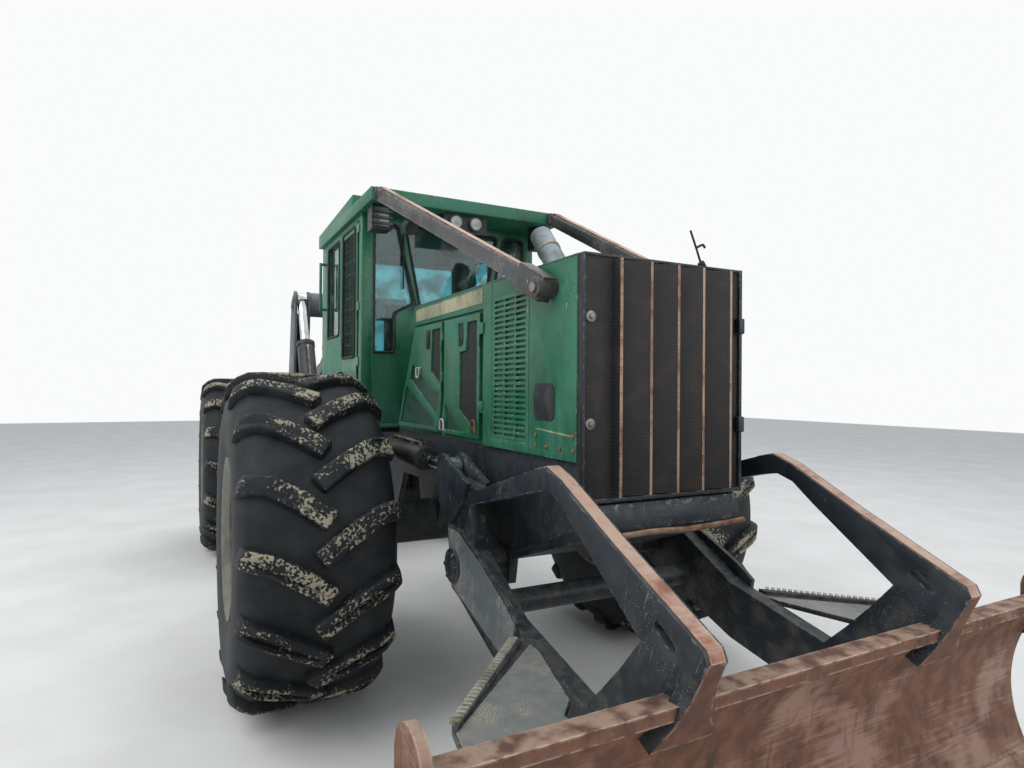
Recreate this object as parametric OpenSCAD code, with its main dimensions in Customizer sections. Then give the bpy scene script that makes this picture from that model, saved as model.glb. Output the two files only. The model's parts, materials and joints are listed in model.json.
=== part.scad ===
// Articulated grapple skidder: two frames hinged at the middle, a cab and engine hood on the
// front frame, a stacking blade ahead of it, and a swinging arch with boom and grapple behind.
// X points forward, Y to the machine's left, Z up. The origin is on the ground under the
// articulation pin, which is also the middle of the machine's length.

/* [Wheels] */
// Distance between the axles
wheelbase = 3730; // [3600:10:3900]
// Distance between the middles of the tyres on one axle
track = 2440; // [2400:10:2600]
// Radius of a tyre at the tips of its lugs
tyre_r = 915; // [880:5:930]
// Width of a tyre over its lugs
tyre_w = 775; // [700:5:790]
// Radius of the rim where the tyre's bead seats
rim_r = 400; // [380:5:420]
// Radius of the spindle that carries a wheel
spindle_r = 110; // [90:5:120]

/* [Hood] */
// Width of the hood over its doors
hood_w = 860; // [800:10:900]
// Height of the hood's flat top above the ground
hood_top = 2290; // [2250:10:2350]
// Height of the hood's lower edge
hood_bottom = 1455; // [1440:5:1480]
// Place of the grille's front face
grille_x = 3630; // [3600:10:3700]
// Thickness of a hood door or side panel
panel_t = 25; // [15:1:28]
// Width of the seam between the two engine doors
seam_w = 42; // [40:1:50]

/* [Cab] */
// Width of the cab over its doors
cab_w = 1374; // [1340:2:1380]
// Place of the cab's rear wall
cab_rear = -140; // [-160:5:-100]
// Place of the cab's front wall
cab_front = 1230; // [1225:5:1240]
// Height of the cab's underside
cab_bottom = 1460; // [1450:5:1480]
// Height of the cab's walls under the roof
cab_top = 2980; // [2940:10:3000]
// Thickness of a cab wall
wall_t = 40; // [30:2:50]
// Thickness of a cab door
door_t = 30; // [20:1:30]

/* [Blade] */
// Width of the stacking blade
blade_w = 2780; // [2600:20:2900]
// Height of the blade's lower edge above the ground
blade_low = 100; // [60:5:150]
// Height of the blade's upper edge
blade_top = 910; // [880:5:940]
// Middle plane of a push arm
arm_y = 600; // [580:5:620]
// Thickness of a push arm
arm_t = 74; // [60:2:80]

/* [Arch and boom] */
// Middle plane of an arch leg and of the cylinder that tilts it
leg_y = 620; // [600:5:640]
// Height of the pin at the arch's top that carries the boom
boom_pin_z = 2650; // [2600:10:2680]
// Height of the pin at the boom's tip
tip_z = 1620; // [1600:10:1660]
// Distance of the grapple's middle behind the articulation pin
grapple_x = 4190; // [4150:10:4190]

/* [Grapple] */
// Outer radius of a closed tong
tong_r = 515; // [500:5:520]
// Thickness of a tong's blade across its curve
tong_t = 80; // [60:5:90]

/* [Fits] */
// Clearance between a pin or rod and its bore, on the radius
fit = 0.3; // [0.2:0.05:0.5]
// Clearance between faces that pass each other
clear = 5; // [5:1:8]

/* [Hidden] */
$fn = 48;

green = "#1d6b3a";
dark = "#20262b";
steel = "#b9bec4";
rust = "#8a5a45";

axle_x = wheelbase / 2;
axle_z = tyre_r;
axle_r = 130;
// Radius of an axle's middle housing
diff_r = 260;
grille_low = 1295;
hood_y = hood_w / 2;
jamb_y = hood_y - panel_t - fit;
grille_t = 40;
hood_front = grille_x - grille_t - fit;
// The grapple's cylinders reach as far back as the blade's claws reach forward
tong_cyl_r = 50;
tong_cyl_x = 275;
front_reach = grapple_x + tong_cyl_x + tong_cyl_r;
cab_y = cab_w / 2;

// Side plates of the front frame
frame_y = 400;
frame_t = 40;
// Articulation joint
hinge_r = 150;
hinge_pin_r = 60;
hinge_low = 760;
hinge_high = 1300;
lug_t = 60;
// Push frame, as x and z of its pins
push_pin = [2880, 900];
blade_eye = [2730, 1345];
blade_cyl_base = [1600, 1365];
// The blade's front face is an arc about this point, as x and z
blade_t = 40;
blade_r = 567;
blade_mid = [4827, (blade_low + blade_top) / 2];
// Steering cylinders, as x and y of their pins
steer_base = [900, 230];
steer_eye = [-60, 330];
steer_z = 1030;
steer_room = 80;
// Arch and boom pins, as x and z
arch_pin = [-1950, 1230];
boom_pin = [-1720, boom_pin_z];
arch_eye = [-1640, boom_pin_z + 60];
arch_cyl_base = [-830, 1200];
boom_eye = [-2380, 2240];
boom_cyl_base = [-1730, 1480];
boom_cyl_y = 220;
tip = [-grapple_x, tip_z];
elbow = [-3100, 1930];
// Tongs, as y and z of their pins in the grapple's plane
tong_pin = [110, 1000];
tong_lug = [420, 1090];
tong_mid_z = tong_r + 5;
tong_x = 195;
tong_plate_t = 40;

// A box between two corners
module block(lo, hi) {
    translate(lo) cube(hi - lo);
}

// The children on the machine's right side and their mirror image on its left
module both_sides() {
    children();
    mirror([0, 1, 0]) children();
}

// An outline of x and z points, as a plate from y0 to y1
module side_plate(y0, y1) {
    translate([0, y1, 0]) rotate([90, 0, 0]) linear_extrude(y1 - y0) children();
}

// An outline of y and z points, as a plate from x0 to x1
module cross_plate(x0, x1) {
    translate([x0, 0, 0]) rotate([90, 0, 90]) linear_extrude(x1 - x0) children();
}

// A straight round bar between two points
module bar(p, q, r) {
    d = q - p;
    span = norm(d);
    translate(p)
        rotate([0, acos(d.z / span), atan2(d.y, d.x)])
            cylinder(h = span, r = r);
}

// A round bar along Y at x and z
module cross_bar(at, y0, y1, r) {
    translate([at.x, y1, at.y]) rotate([90, 0, 0]) cylinder(h = y1 - y0, r = r);
}

// A round bar along X at y and z
module long_bar(at, x0, x1, r) {
    translate([x0, at.x, at.y]) rotate([0, 90, 0]) cylinder(h = x1 - x0, r = r);
}

// Point on the way from p to q at distance s
function along(p, q, s) = p + (q - p) * (s / norm(q - p));

// Cylinder barrel in a plane of x and z: an eye bored for its pin, a neck and a tube
module barrel(base, eye, y, neck, tube_end, r, rod_r, eye_r, eye_w, pin_r) {
    start = along(base, eye, neck);
    mouth = along(base, eye, tube_end);
    bore_start = along(base, eye, neck + 20);
    past_mouth = along(base, eye, tube_end + 1);
    difference() {
        union() {
            cross_bar(base, y - eye_w / 2, y + eye_w / 2, eye_r);
            bar([base.x, y, base.y], [start.x, y, start.y], min(eye_w / 2 - 1, eye_r * 0.8));
            bar([start.x, y, start.y], [mouth.x, y, mouth.y], r);
        }
        bar([bore_start.x, y, bore_start.y], [past_mouth.x, y, past_mouth.y], rod_r + fit);
        cross_bar(base, y - eye_w, y + eye_w, pin_r + fit);
    }
}

// Cylinder rod in the same plane, from inside the barrel to its eye
module rod(base, eye, y, rod_from, rod_r, eye_r, eye_w) {
    tail = along(base, eye, rod_from);
    bar([tail.x, y, tail.y], [eye.x, y, eye.y], rod_r);
    cross_bar(eye, y - eye_w / 2, y + eye_w / 2, eye_r);
}

// Two ears that hold a cross pin between them, seen from the side as a given outline
module ears(y, inner_w, t) {
    side_plate(y - inner_w / 2 - t, y - inner_w / 2) children();
    side_plate(y + inner_w / 2, y + inner_w / 2 + t) children();
}

// Front frame

frame_front = 3585;
belly_front = [frame_front, 1190];
belly_back = [2990, 960];
blade_ear_w = 66;
// Lower edge of the side plates over the axle
frame_low = 1150;
frame_outline = [
    [frame_front, hood_bottom], belly_front, belly_back, [2960, 800], [2800, 800], [2700, 900],
    [2480, frame_low], [1330, frame_low], [1100, hinge_low], [340, hinge_low], [340, hinge_high],
    [1200, 1420], [1200, hood_bottom]
];

module front_frame() {
    color(dark) difference() {
        union() {
            both_sides() side_plate(-frame_y, -frame_y + frame_t) polygon(frame_outline);
            // cross members
            block([1340, -frame_y + frame_t, 1250], [1500, frame_y - frame_t, 1300]);
            block([2500, -frame_y + frame_t, 1250], [2660, frame_y - frame_t, 1300]);
            block([frame_front - 40, -frame_y + frame_t, 1195], [frame_front, frame_y - frame_t, hood_bottom]);
            // cab floor beams
            for (x = [0, 620, 1100])
                block([x, -600, 1424], [x + 80, 600, cab_bottom]);
            block([0, -frame_y, 1380], [1201, -frame_y + frame_t, 1424]);
            block([0, frame_y - frame_t, 1380], [1201, frame_y, 1424]);
            block([340, -frame_y, 1300], [420, -frame_y + frame_t, 1400]);
            block([340, frame_y - frame_t, 1300], [420, frame_y, 1400]);
            // bosses and pins of the push frame
            cross_bar(push_pin, -arm_y - arm_t, -frame_y + 1, 60);
            cross_bar(push_pin, frame_y - 1, arm_y + arm_t, 60);
            // brackets of the blade cylinders
            both_sides() {
                ears(-arm_y, blade_ear_w, 25) translate(blade_cyl_base) square([110, 110], center = true);
                block([blade_cyl_base.x - 80, -arm_y - blade_ear_w / 2 - 25, blade_cyl_base.y - 55],
                      [blade_cyl_base.x - 54, -arm_y + blade_ear_w / 2 + 25, blade_cyl_base.y + 55]);
                block([blade_cyl_base.x - 50, -arm_y + blade_ear_w / 2 + 24, blade_cyl_base.y - 45],
                      [blade_cyl_base.x + 50, -frame_y + 1, blade_cyl_base.y + 45]);
                cross_bar(blade_cyl_base, -arm_y - 60, -arm_y + 60, 22);
            }
            // brackets of the steering cylinders
            both_sides() {
                for (z = [steer_z - 75, steer_z + 50])
                    block([steer_base.x - 60, -frame_y + 1, z], [steer_base.x + 60, -steer_base.y + 60, z + 25]);
                translate([steer_base.x, -steer_base.y, steer_z - 60]) cylinder(h = 120, r = 22);
            }
        }
        steering_windows();
    }
}

// Windows that the steering cylinders swing in
module steering_windows() {
    both_sides() block([299, -frame_y - 1, steer_z - steer_room], [500, -120, steer_z + steer_room]);
}

module front_hinge() {
    color(dark) difference() {
        union() {
            block([300, -frame_y, hinge_low], [340, frame_y, hinge_high]);
            for (z = [hinge_low, hinge_high - lug_t])
                translate([0, 0, z]) linear_extrude(lug_t) {
                    circle(hinge_r);
                    polygon([[0, -hinge_r], [301, -300], [301, 300], [0, hinge_r]]);
                }
            translate([0, 0, hinge_low]) cylinder(h = hinge_high - hinge_low, r = hinge_pin_r);
        }
        steering_windows();
    }
}

module belly_guard() {
    color(dark) side_plate(-frame_y, frame_y)
        polygon([belly_back, belly_back + [0, -35], belly_front + [20, -45], belly_front + [70, -10],
                 belly_front + [55, 95], [frame_front, grille_low - 10], belly_front]);
}

module engine_block() {
    color(dark) block([1560, -300, 1300 + fit], [2900, 300, 2050]);
}

module axle(x) {
    tube_end = track / 2 - 130;
    color(dark) translate([x, 0, axle_z]) {
        sphere(diff_r);
        rotate([90, 0, 0]) {
            translate([0, 0, -tube_end]) cylinder(h = 2 * tube_end, r = axle_r);
            for (s = [-1, 1])
                translate([0, 0, s * (tube_end - 20) - 20]) cylinder(h = 40, r = 200);
            translate([0, 0, -track / 2 - 20]) cylinder(h = track + 40, r = spindle_r);
        }
    }
}

module front_axle() {
    axle(axle_x);
    // saddles under the frame
    color(dark) both_sides() side_plate(-frame_y, -frame_y + 120)
        polygon([[axle_x - 220, frame_low], [axle_x - 140, axle_z], [axle_x + 140, axle_z],
                 [axle_x + 220, frame_low]]);
}

module rear_axle() axle(-axle_x);

// Wheels, drawn on the right side with the outer face towards -Y

module rim(x) {
    hub_in = track / 2 - 80;
    color("#5b5f57") translate([x, 0, axle_z])
        rotate([90, 0, 0]) difference() {
            union() {
                translate([0, 0, track / 2]) rotate_extrude($fn = 64)
                    polygon([[spindle_r + 20, -60], [rim_r - 40, -60], [rim_r - 40, -tyre_w / 2 + 60],
                             [rim_r + 40, -tyre_w / 2 + 20], [rim_r + 40, -tyre_w / 2 + 36],
                             [rim_r - fit, -tyre_w / 2 + 60], [rim_r - fit, tyre_w / 2 - 60],
                             [rim_r + 40, tyre_w / 2 - 36], [rim_r + 40, tyre_w / 2 - 20],
                             [rim_r - 40, tyre_w / 2 - 60], [rim_r - 40, -30], [spindle_r + 20, -30]]);
                translate([0, 0, hub_in]) cylinder(h = 200, r = 200);
                translate([0, 0, hub_in + 200]) cylinder(h = 60, r = 150);
            }
            translate([0, 0, hub_in - 1]) cylinder(h = 80 + 20 + 1 + fit, r = spindle_r + fit);
        }
}

// Tread: lugs in each row, their height, and how far the sides bulge less than they do
lug_rows = 16;
lug_h = 50;
side_step = 12;

// Half of a ring's outline from its inner side to the middle of the tread, and its mirror image
function both_edges(half_line) =
    concat(half_line, [for (i = [len(half_line) - 1:-1:0]) [half_line[i].x, -half_line[i].y]]);

module carcass() {
    half = tyre_w / 2;
    rotate_extrude($fn = 64) polygon(both_edges([
        [rim_r, -half + 64], [rim_r + 60, -half + 30], [rim_r + 200, -half + side_step],
        [tyre_r - 190, -half + side_step], [tyre_r - lug_h - 45, -half + 60],
        [tyre_r - lug_h, -half + 140]]));
}

module tread_reach() {
    half = tyre_w / 2;
    rotate_extrude($fn = 64) polygon(both_edges([
        [rim_r + 280, -half], [tyre_r - 160, -half], [tyre_r - 45, -half + 50], [tyre_r, -half + 130]]));
}

// One lug as a prism pushed outwards, drawn as distance round the tyre and across it. Its inner
// end lies just past the middle, and the shoulder end trails it
module lug() {
    rotate([90, 0, 90]) translate([0, 0, tyre_r - 225]) linear_extrude(300)
        polygon([[-111, -70], [-10, 40], [70, 170], [139, 400], [41, 400], [-25, 215],
                 [-90, 95], [-180, -12]]);
}

module tyre(x) {
    color("#2a2d2e") translate([x, -track / 2, axle_z]) rotate([90, 0, 0]) {
        carcass();
        intersection() {
            tread_reach();
            for (i = [0:lug_rows - 1]) {
                rotate(i * 360 / lug_rows) lug();
                rotate((i + 0.5) * 360 / lug_rows) mirror([0, 0, 1]) lug();
            }
        }
    }
}

module rim_front_right() rim(axle_x);
module rim_front_left() mirror([0, 1, 0]) rim(axle_x);
module rim_rear_right() rim(-axle_x);
module rim_rear_left() mirror([0, 1, 0]) rim(-axle_x);
module tyre_front_right() tyre(axle_x);
module tyre_front_left() mirror([0, 1, 0]) tyre(axle_x);
module tyre_rear_right() tyre(-axle_x);
module tyre_rear_left() mirror([0, 1, 0]) tyre(-axle_x);

// Door hinges. A hinge's pin stands at x and y. The door's knuckle is under the fixed one, and
// each has a leaf between two corners given as x and y
knuckle_r = 5;
knuckle_h = 60;

module knuckle(at, z, lo, hi) {
    translate([at.x, at.y, z]) cylinder(h = knuckle_h, r = knuckle_r);
    block([lo.x, lo.y, z], [hi.x, hi.y, z + knuckle_h]);
}

module door_knuckle(at, z, lo, hi) knuckle(at, z - knuckle_h - 1, lo, hi);
module fixed_knuckle(at, z, lo, hi) knuckle(at, z, lo, hi);

// Hood and its doors

// Ends of the two engine doors on a side
door_top = 2145;
door_low = hood_bottom + 25;
rear_door_back = 1280;
rear_door_back_top = 1630;
rear_door_front = 2120;
front_door_back = rear_door_front + seam_w;
front_door_front = 2665;
panel_from = front_door_front + panel_t + 20;
lip = 35;
// Pins of the engine doors and of the grille door, as x and y, and the heights of their knuckles
hinge_gap = 4;
rear_door_hinge = [rear_door_front + hinge_gap, -hood_y - hinge_gap];
front_door_hinge = [front_door_front + hinge_gap, -hood_y - hinge_gap];
rear_hinges = [1780, 2030];
front_hinges = [1620, 2030];
grille_hinge = [grille_x - grille_t, hood_y + 6];
grille_hinges = [1560, 2140];

hood_outline = [
    [1240, hood_bottom], [hood_front, hood_bottom], [hood_front, hood_top],
    [1600, hood_top], [1600, 2175]
];
// The seam between the doors runs down from seam_bend towards the back, as x and z
seam_bend = [rear_door_front, 1700];
seam_foot = [2080, door_low];
rear_door_outline = [
    [rear_door_back, door_low], seam_foot, seam_bend, [rear_door_front, door_top],
    [rear_door_back_top, door_top]
];
front_door_outline = [
    seam_foot + [seam_w, 0], [front_door_front, door_low], [front_door_front, door_top],
    [front_door_back, door_top], seam_bend + [seam_w, 0]
];
rear_door_hole = [
    [rear_door_back + lip * 1.6, door_low + lip], seam_foot + [-lip * 1.6, lip],
    seam_bend + [-lip, 0], [rear_door_front - lip, door_top - lip],
    [rear_door_back_top + lip, door_top - lip]
];
front_door_hole = [
    seam_foot + [seam_w + lip * 1.6, lip], [front_door_front - lip, door_low + lip],
    [front_door_front - lip, door_top - lip], [front_door_back + lip, door_top - lip],
    seam_bend + [seam_w + lip, 0]
];
// Pressed-in fields of the doors: a screen beside the lock and a braced triangle below it
pocket = 12;
rear_fields = [
    [[1955, 2110], [2095, 2110], [2095, 1765], [1935, 1850]],
    [[1590, 1905], [1960, 1735], [2085, 1715], [2040, 1580], [1545, 1805]],
    [[1465, 1765], [1995, 1545], [1985, 1505], [1330, 1505]]
];
front_fields = [
    [[2500, 2110], [2630, 2110], [2630, 1570], [2575, 1530], [2385, 1630], [2395, 1950], [2485, 1955]],
    [[2185, 1655], [2430, 1505], [2170, 1505]],
    [[2370, 2110], [2450, 2110], [2450, 1985], [2380, 1975]]
];
// Louvres of the hood's side panels
louvre_lo = [2830, 1500];
louvre_hi = [3180, 2200];
louvre_count = 26;
louvre_t = 14;
louvre_rim = 12;

module hood() {
    color(green) difference() {
        union() {
            both_sides() {
                side_plate(-jamb_y, -jamb_y + panel_t) polygon(hood_outline);
                // raised side panels ahead of the doors and the louvres
                side_plate(-hood_y, -jamb_y + 1) polygon(
                    [[panel_from, hood_bottom], [hood_front, hood_bottom], [hood_front, hood_top],
                     [1600, hood_top], [1600, door_top + 15], [panel_from, door_top + 15]]);
            }
            block([1600, -hood_y, hood_top - 30], [hood_front, hood_y, hood_top]);
            // radiator wall behind the grille
            block([hood_front - 40, -jamb_y + 1, hood_bottom], [hood_front, jamb_y - 1, hood_top - 29]);
        }
        both_sides() {
            side_plate(-hood_y - 1, 0) polygon(rear_door_hole);
            side_plate(-hood_y - 1, 0) polygon(front_door_hole);
            // seat of the louvre panel
            block([louvre_lo.x, -hood_y - 1, louvre_lo.y], [louvre_hi.x, -hood_y + louvre_t + fit, louvre_hi.y]);
        }
        // radiator opening
        block([hood_front - 41, -320, hood_bottom + 60], [hood_front + 1, 320, hood_top - 120]);
    }
    color(green) {
        both_sides() {
            for (z = rear_hinges)
                fixed_knuckle(rear_door_hinge, z, rear_door_hinge - [0, 4], [rear_door_front + 24, -jamb_y + 1]);
            for (z = front_hinges)
                fixed_knuckle(front_door_hinge, z, front_door_hinge - [0, 4], [panel_from + 10, -hood_y + 1]);
        }
        for (z = grille_hinges)
            fixed_knuckle(grille_hinge, z, [hood_front - 50, hood_y - 1], [grille_hinge.x - 0.3, hood_y + 9]);
    }
}

// Panel with three columns of slots, let into the side of the hood
module louvre_panel() {
    slot_w = (louvre_hi.x - louvre_lo.x - 4 * louvre_rim) / 3;
    pitch = (louvre_hi.y - louvre_lo.y - 2 * louvre_rim) / louvre_count;
    color(green) difference() {
        block([louvre_lo.x + fit, -hood_y, louvre_lo.y + fit],
              [louvre_hi.x - fit, -hood_y + louvre_t, louvre_hi.y - fit]);
        for (column = [0:2], row = [0:louvre_count - 1])
            translate([louvre_lo.x + louvre_rim + column * (slot_w + louvre_rim), -hood_y - 1,
                       louvre_lo.y + louvre_rim + (row + 0.25) * pitch])
                cube([slot_w, louvre_t + 2, pitch / 2]);
    }
}

module louvre_panel_right() louvre_panel();
module louvre_panel_left() mirror([0, 1, 0]) louvre_panel();

module door_panel(outline, fields) {
    difference() {
        side_plate(-hood_y, -hood_y + panel_t) polygon(outline);
        for (field = fields)
            side_plate(-hood_y - 1, -hood_y + pocket) polygon(field);
    }
}

module engine_door_rear() {
    color(green) {
        door_panel(rear_door_outline, rear_fields);
        for (z = rear_hinges)
            door_knuckle(rear_door_hinge, z, [rear_door_front - 6, -hood_y - 8], [rear_door_hinge.x, -hood_y + 1]);
    }
}

module engine_door_front() {
    color(green) {
        door_panel(front_door_outline, front_fields);
        for (z = front_hinges)
            door_knuckle(front_door_hinge, z, [front_door_front - 6, -hood_y - 8],
                         [front_door_hinge.x, -hood_y + 1]);
    }
}

module engine_door_right_rear() engine_door_rear();
module engine_door_right_front() engine_door_front();
module engine_door_left_rear() mirror([0, 1, 0]) engine_door_rear();
module engine_door_left_front() mirror([0, 1, 0]) engine_door_front();

// Fins of the grille, as the y of their middles. Between them each screen rises from the frame
// to the next fin's outer edge
fins = [-275, -124, 20, 159, 318];
fin_t = 16;
fin_out = 50;
fin_low = grille_low + 25;
fin_high = hood_top - 20;

module pleat(y_from, y_to) {
    polygon([[grille_x - 1, y_from + fin_t / 2], [grille_x - 1, y_to + fin_t / 2],
             [grille_x + fin_out, y_to + fin_t / 2], [grille_x + fin_out, y_to - fin_t / 2],
             [grille_x + 2, y_from + fin_t / 2]]);
}

module grille_door() {
    color("#2b2320") difference() {
        union() {
            block([grille_x - grille_t, -hood_y + 5, grille_low], [grille_x, hood_y - 5, hood_top]);
            translate([0, 0, fin_low]) linear_extrude(fin_high - fin_low) {
                translate([grille_x - 1, fins[0] - fin_t / 2]) square([fin_out + 1, fin_t]);
                for (i = [1:len(fins) - 1])
                    pleat(fins[i - 1], fins[i]);
            }
        }
        block([grille_x - grille_t - 1, -330, grille_low + 60], [grille_x - 12, 330, hood_top - 60]);
    }
    color(green) for (z = grille_hinges)
        door_knuckle(grille_hinge, z, [grille_hinge.x + 0.3, hood_y - 6], [grille_hinge.x + 9, grille_hinge.y]);
}

// A straight bar of rectangular section between two points, h high and w wide
module beam(p, q, h, w) {
    d = q - p;
    span = norm(d);
    translate(p)
        rotate([0, acos(d.z / span), atan2(d.y, d.x)])
            translate([-h / 2, -w / 2, 0]) cube([h, w, span]);
}

roof_front = 1580;
riser_top = [roof_front + 20, -660, cab_top + 32];
riser_foot = [3330, -492, 2215];
riser_pin = [3410, 2170];
module limb_risers() {
    color(rust) both_sides() {
        block([roof_front, -700, cab_top + 5], [roof_front + 30, -620, cab_top + 80]);
        beam(riser_top, riser_foot, 75, 60);
        // wear bar on top
        beam(riser_top + [30, 0, 36], riser_foot + [-40, -4, 54], 18, 40);
        // bracket and pin at the hood
        beam(riser_foot + [-70, -7, 32], [riser_pin.x + 15, -476, riser_pin.y - 10], 110, 68);
        cross_bar(riser_pin, -528, -hood_y - fit, 42);
    }
}

module exhaust_stack() {
    color(steel) {
        translate([2350, 330, hood_top]) cylinder(h = 110, r = 92);
        bar([2350, 330, hood_top + 80], [1900, 380, 2800], 75);
    }
}

// Cab

recess_from = 590;
recess_to = 1150;
door_x0 = 600;
door_x1 = 1100;
cab_door_low = 1490;
cab_door_high = 2945;
// Pin of the cab door, as x and y, and the heights of its knuckles
cab_hinge = [door_x1 + 6, -cab_y - 2];
cab_hinges = [1900, 2300, 2860];

side_t = door_t + wall_t;
glass_t = 8;
// Corners of a side window, as x and z
side_window = [[110, 2160], [530, cab_top - 60]];
rear_pane_high = cab_top - 80;
floor_t = 30;

// Outlines of the windshield's panes as y and z, with a leaning post between them
pane_low = 2000;
pane_high = cab_top - 60;
centre_pane = [[-256, 2340], [256, 2340], [372, pane_high], [-372, pane_high]];
side_pane = [[-600, pane_low], [-450, pane_low], [-450, 2290], [-312, 2360], [-428, pane_high],
             [-600, pane_high]];

module windshield() {
    polygon(centre_pane);
    polygon(side_pane);
    mirror([1, 0]) polygon(side_pane);
}

// Floor, front wall and rear wall stand between the two sides
cab_inner_y = cab_y - side_t;
module cab_floor() {
    color(green) block([cab_rear, -cab_inner_y, cab_bottom], [cab_front, cab_inner_y, cab_bottom + floor_t]);
}

module cab_front_wall() {
    color(green) difference() {
        block([cab_front - wall_t, -cab_inner_y, cab_bottom + floor_t], [cab_front, cab_inner_y, cab_top]);
        cross_plate(cab_front - wall_t - 1, cab_front + 1) windshield();
    }
}

module cab_rear_wall() {
    color(green) difference() {
        block([cab_rear, -cab_inner_y, cab_bottom + floor_t], [cab_rear + wall_t, cab_inner_y, cab_top]);
        // rear window
        block([cab_rear - 1, -560, pane_low], [cab_rear + wall_t + 1, 560, rear_pane_high]);
    }
}

module cab_side() {
    color(green) {
        difference() {
            block([cab_rear, -cab_y, cab_bottom], [cab_front, -cab_y + side_t, cab_top]);
            // recess and opening of the door
            block([recess_from, -cab_y - 1, cab_door_low - clear],
                  [recess_to, -cab_y + door_t + fit, cab_door_high + clear]);
            block([door_x0 + 40, -cab_y - 1, cab_door_low + 35],
                  [door_x1 - 40, 0, cab_door_high - 35]);
            block([side_window[0].x, -cab_y - 1, side_window[0].y], [side_window[1].x, 0, side_window[1].y]);
        }
        for (z = cab_hinges)
            fixed_knuckle(cab_hinge, z, [cab_hinge.x, -cab_y - 7], [recess_to + 15, -cab_y + 1]);
    }
}

module cab_side_right() cab_side();
module cab_side_left() mirror([0, 1, 0]) cab_side();

roof_lip_x = 1080;
module cab_roof() {
    color(green) {
        block([-170, -720, cab_top], [roof_front, 720, cab_top + 90]);
        block([-100, -600, cab_top + 89], [900, 600, cab_top + 140]);
        // side gutters that rise to a lip ahead
        both_sides() side_plate(-720, -600)
            polygon([[-170, cab_top + 89], [-170, cab_top + 112], [roof_lip_x, cab_top + 165],
                     [roof_lip_x - 35, cab_top + 89]]);
    }
}

module cab_glass() {
    color([0.6, 0.8, 0.8, 0.4]) {
        both_sides() block([side_window[0].x, -cab_y + 20, side_window[0].y],
                           [side_window[1].x, -cab_y + 20 + glass_t, side_window[1].y]);
        cross_plate(cab_front - 20, cab_front - 20 + glass_t) windshield();
        block([cab_rear + 12, -560, pane_low], [cab_rear + 12 + glass_t, 560, rear_pane_high]);
    }
}

module cab_door() {
    color(green) {
        difference() {
            block([door_x0, -cab_y, cab_door_low], [door_x1, -cab_y + door_t, cab_door_high]);
            block([door_x0 + 60, -cab_y - 1, 1970], [door_x1 - 60, -cab_y + door_t + 1, cab_door_high - 55]);
        }
        for (z = cab_hinges)
            door_knuckle(cab_hinge, z, [door_x1 - 6, -cab_y - 6], [cab_hinge.x, -cab_y + 1]);
    }
    color(dark) {
        for (i = [1:5])
            block([door_x0 + 60 + i * 65 - 5, -cab_y + 10, 1969], [door_x0 + 60 + i * 65 + 5, -cab_y + 20, cab_door_high - 54]);
        for (i = [1:9])
            block([door_x0 + 59, -cab_y + 10, 1970 + i * 90], [door_x1 - 59, -cab_y + 20, 1980 + i * 90]);
    }
}

module cab_door_right() cab_door();
module cab_door_left() mirror([0, 1, 0]) cab_door();

module operator_seat() {
    color("#26282b") {
        block([250, -150, cab_bottom + 30], [550, 150, 1780]);
        block([180, -250, 1779], [650, 250, 1900]);
        block([150, -240, 1899], [270, 240, 2500]);
    }
}

module dash_console() {
    color("#26282b") {
        block([960, -300, cab_bottom + 30], [1120, 300, 2050]);
        bar([1000, 0, 2049], [850, 0, 2195], 25);
        translate([850, 0, 2195]) rotate([0, -49, 0]) {
            translate([0, 0, 12]) rotate_extrude() translate([178, 0]) circle(r = 12, $fn = 24);
            for (spoke = [90, 210, 330])
                rotate(spoke) block([0, -14, 6], [178, 14, 16]);
            cylinder(h = 22, r = 45);
        }
    }
}

module work_lights() {
    color(dark) {
        both_sides() {
            block([1380, -690, cab_top - 170], [1500, -560, cab_top - 0.3]);
            // guard bars of the box
            for (z = [50, 90, 130])
                block([1499, -700, cab_top - z - 8], [1520, -552, cab_top - z + 8]);
        }
        block([1400, -190, cab_top - 130], [1530, 140, cab_top - 0.3]);
        for (y = [-105, 45])
            long_bar([y, cab_top - 65], 1529, 1555, 52);
    }
}

module grab_rails() {
    color(green) both_sides() {
        bar([20, -cab_y - 0.3, 2420], [20, -cab_y - 50, 2420], 12);
        bar([20, -cab_y - 50, 2408], [20, -cab_y - 50, 2822], 12);
        bar([20, -cab_y - 0.3, 2810], [20, -cab_y - 50, 2810], 12);
    }
}

// Blade and push frame

push_tube = [3120, 770];
arm_out = arm_y + arm_t / 2;
// Upper bar and strut, then the lower arm that carries the blade at half its height
claw_top = [front_reach, 1045];
upper_line = [
    [2690, 1250], [2700, 1320], [3100, 1290], [3600, 1438], [3690, 1460], [3790, 1425], [4094, 1270],
    claw_top + [-15, 33], claw_top, [4478, 980], [4436, blade_top]
];
lower_line = [
    [4400, 560], [4230, 430], [4000, 440], [3450, 545], [3060, 690], [2860, 770], [2790, 820], [2780, 960]
];
arm_opening = [
    [3010, 1207], [3640, 1362], [3722, 1375], [3800, 1350], [3907, 1266], [4250, 1018], [4165, 915],
    [4060, 800], [3960, 700], [3445, 812], [3080, 1010]
];
outer_plate = [
    [2800, 1080], [2940, 1080], [3210, 985], [3440, 880], [3515, 830], [3500, 750], [3370, 660],
    [3060, 740], [2860, 790]
];
step_z = 755;
step_outline = [
    [3530, -arm_out + 1], [3670, -arm_out + 1], [4030, -735], [4105, -800], [4285, -810],
    [4285, -1180], [4020, -1130]
];

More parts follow.
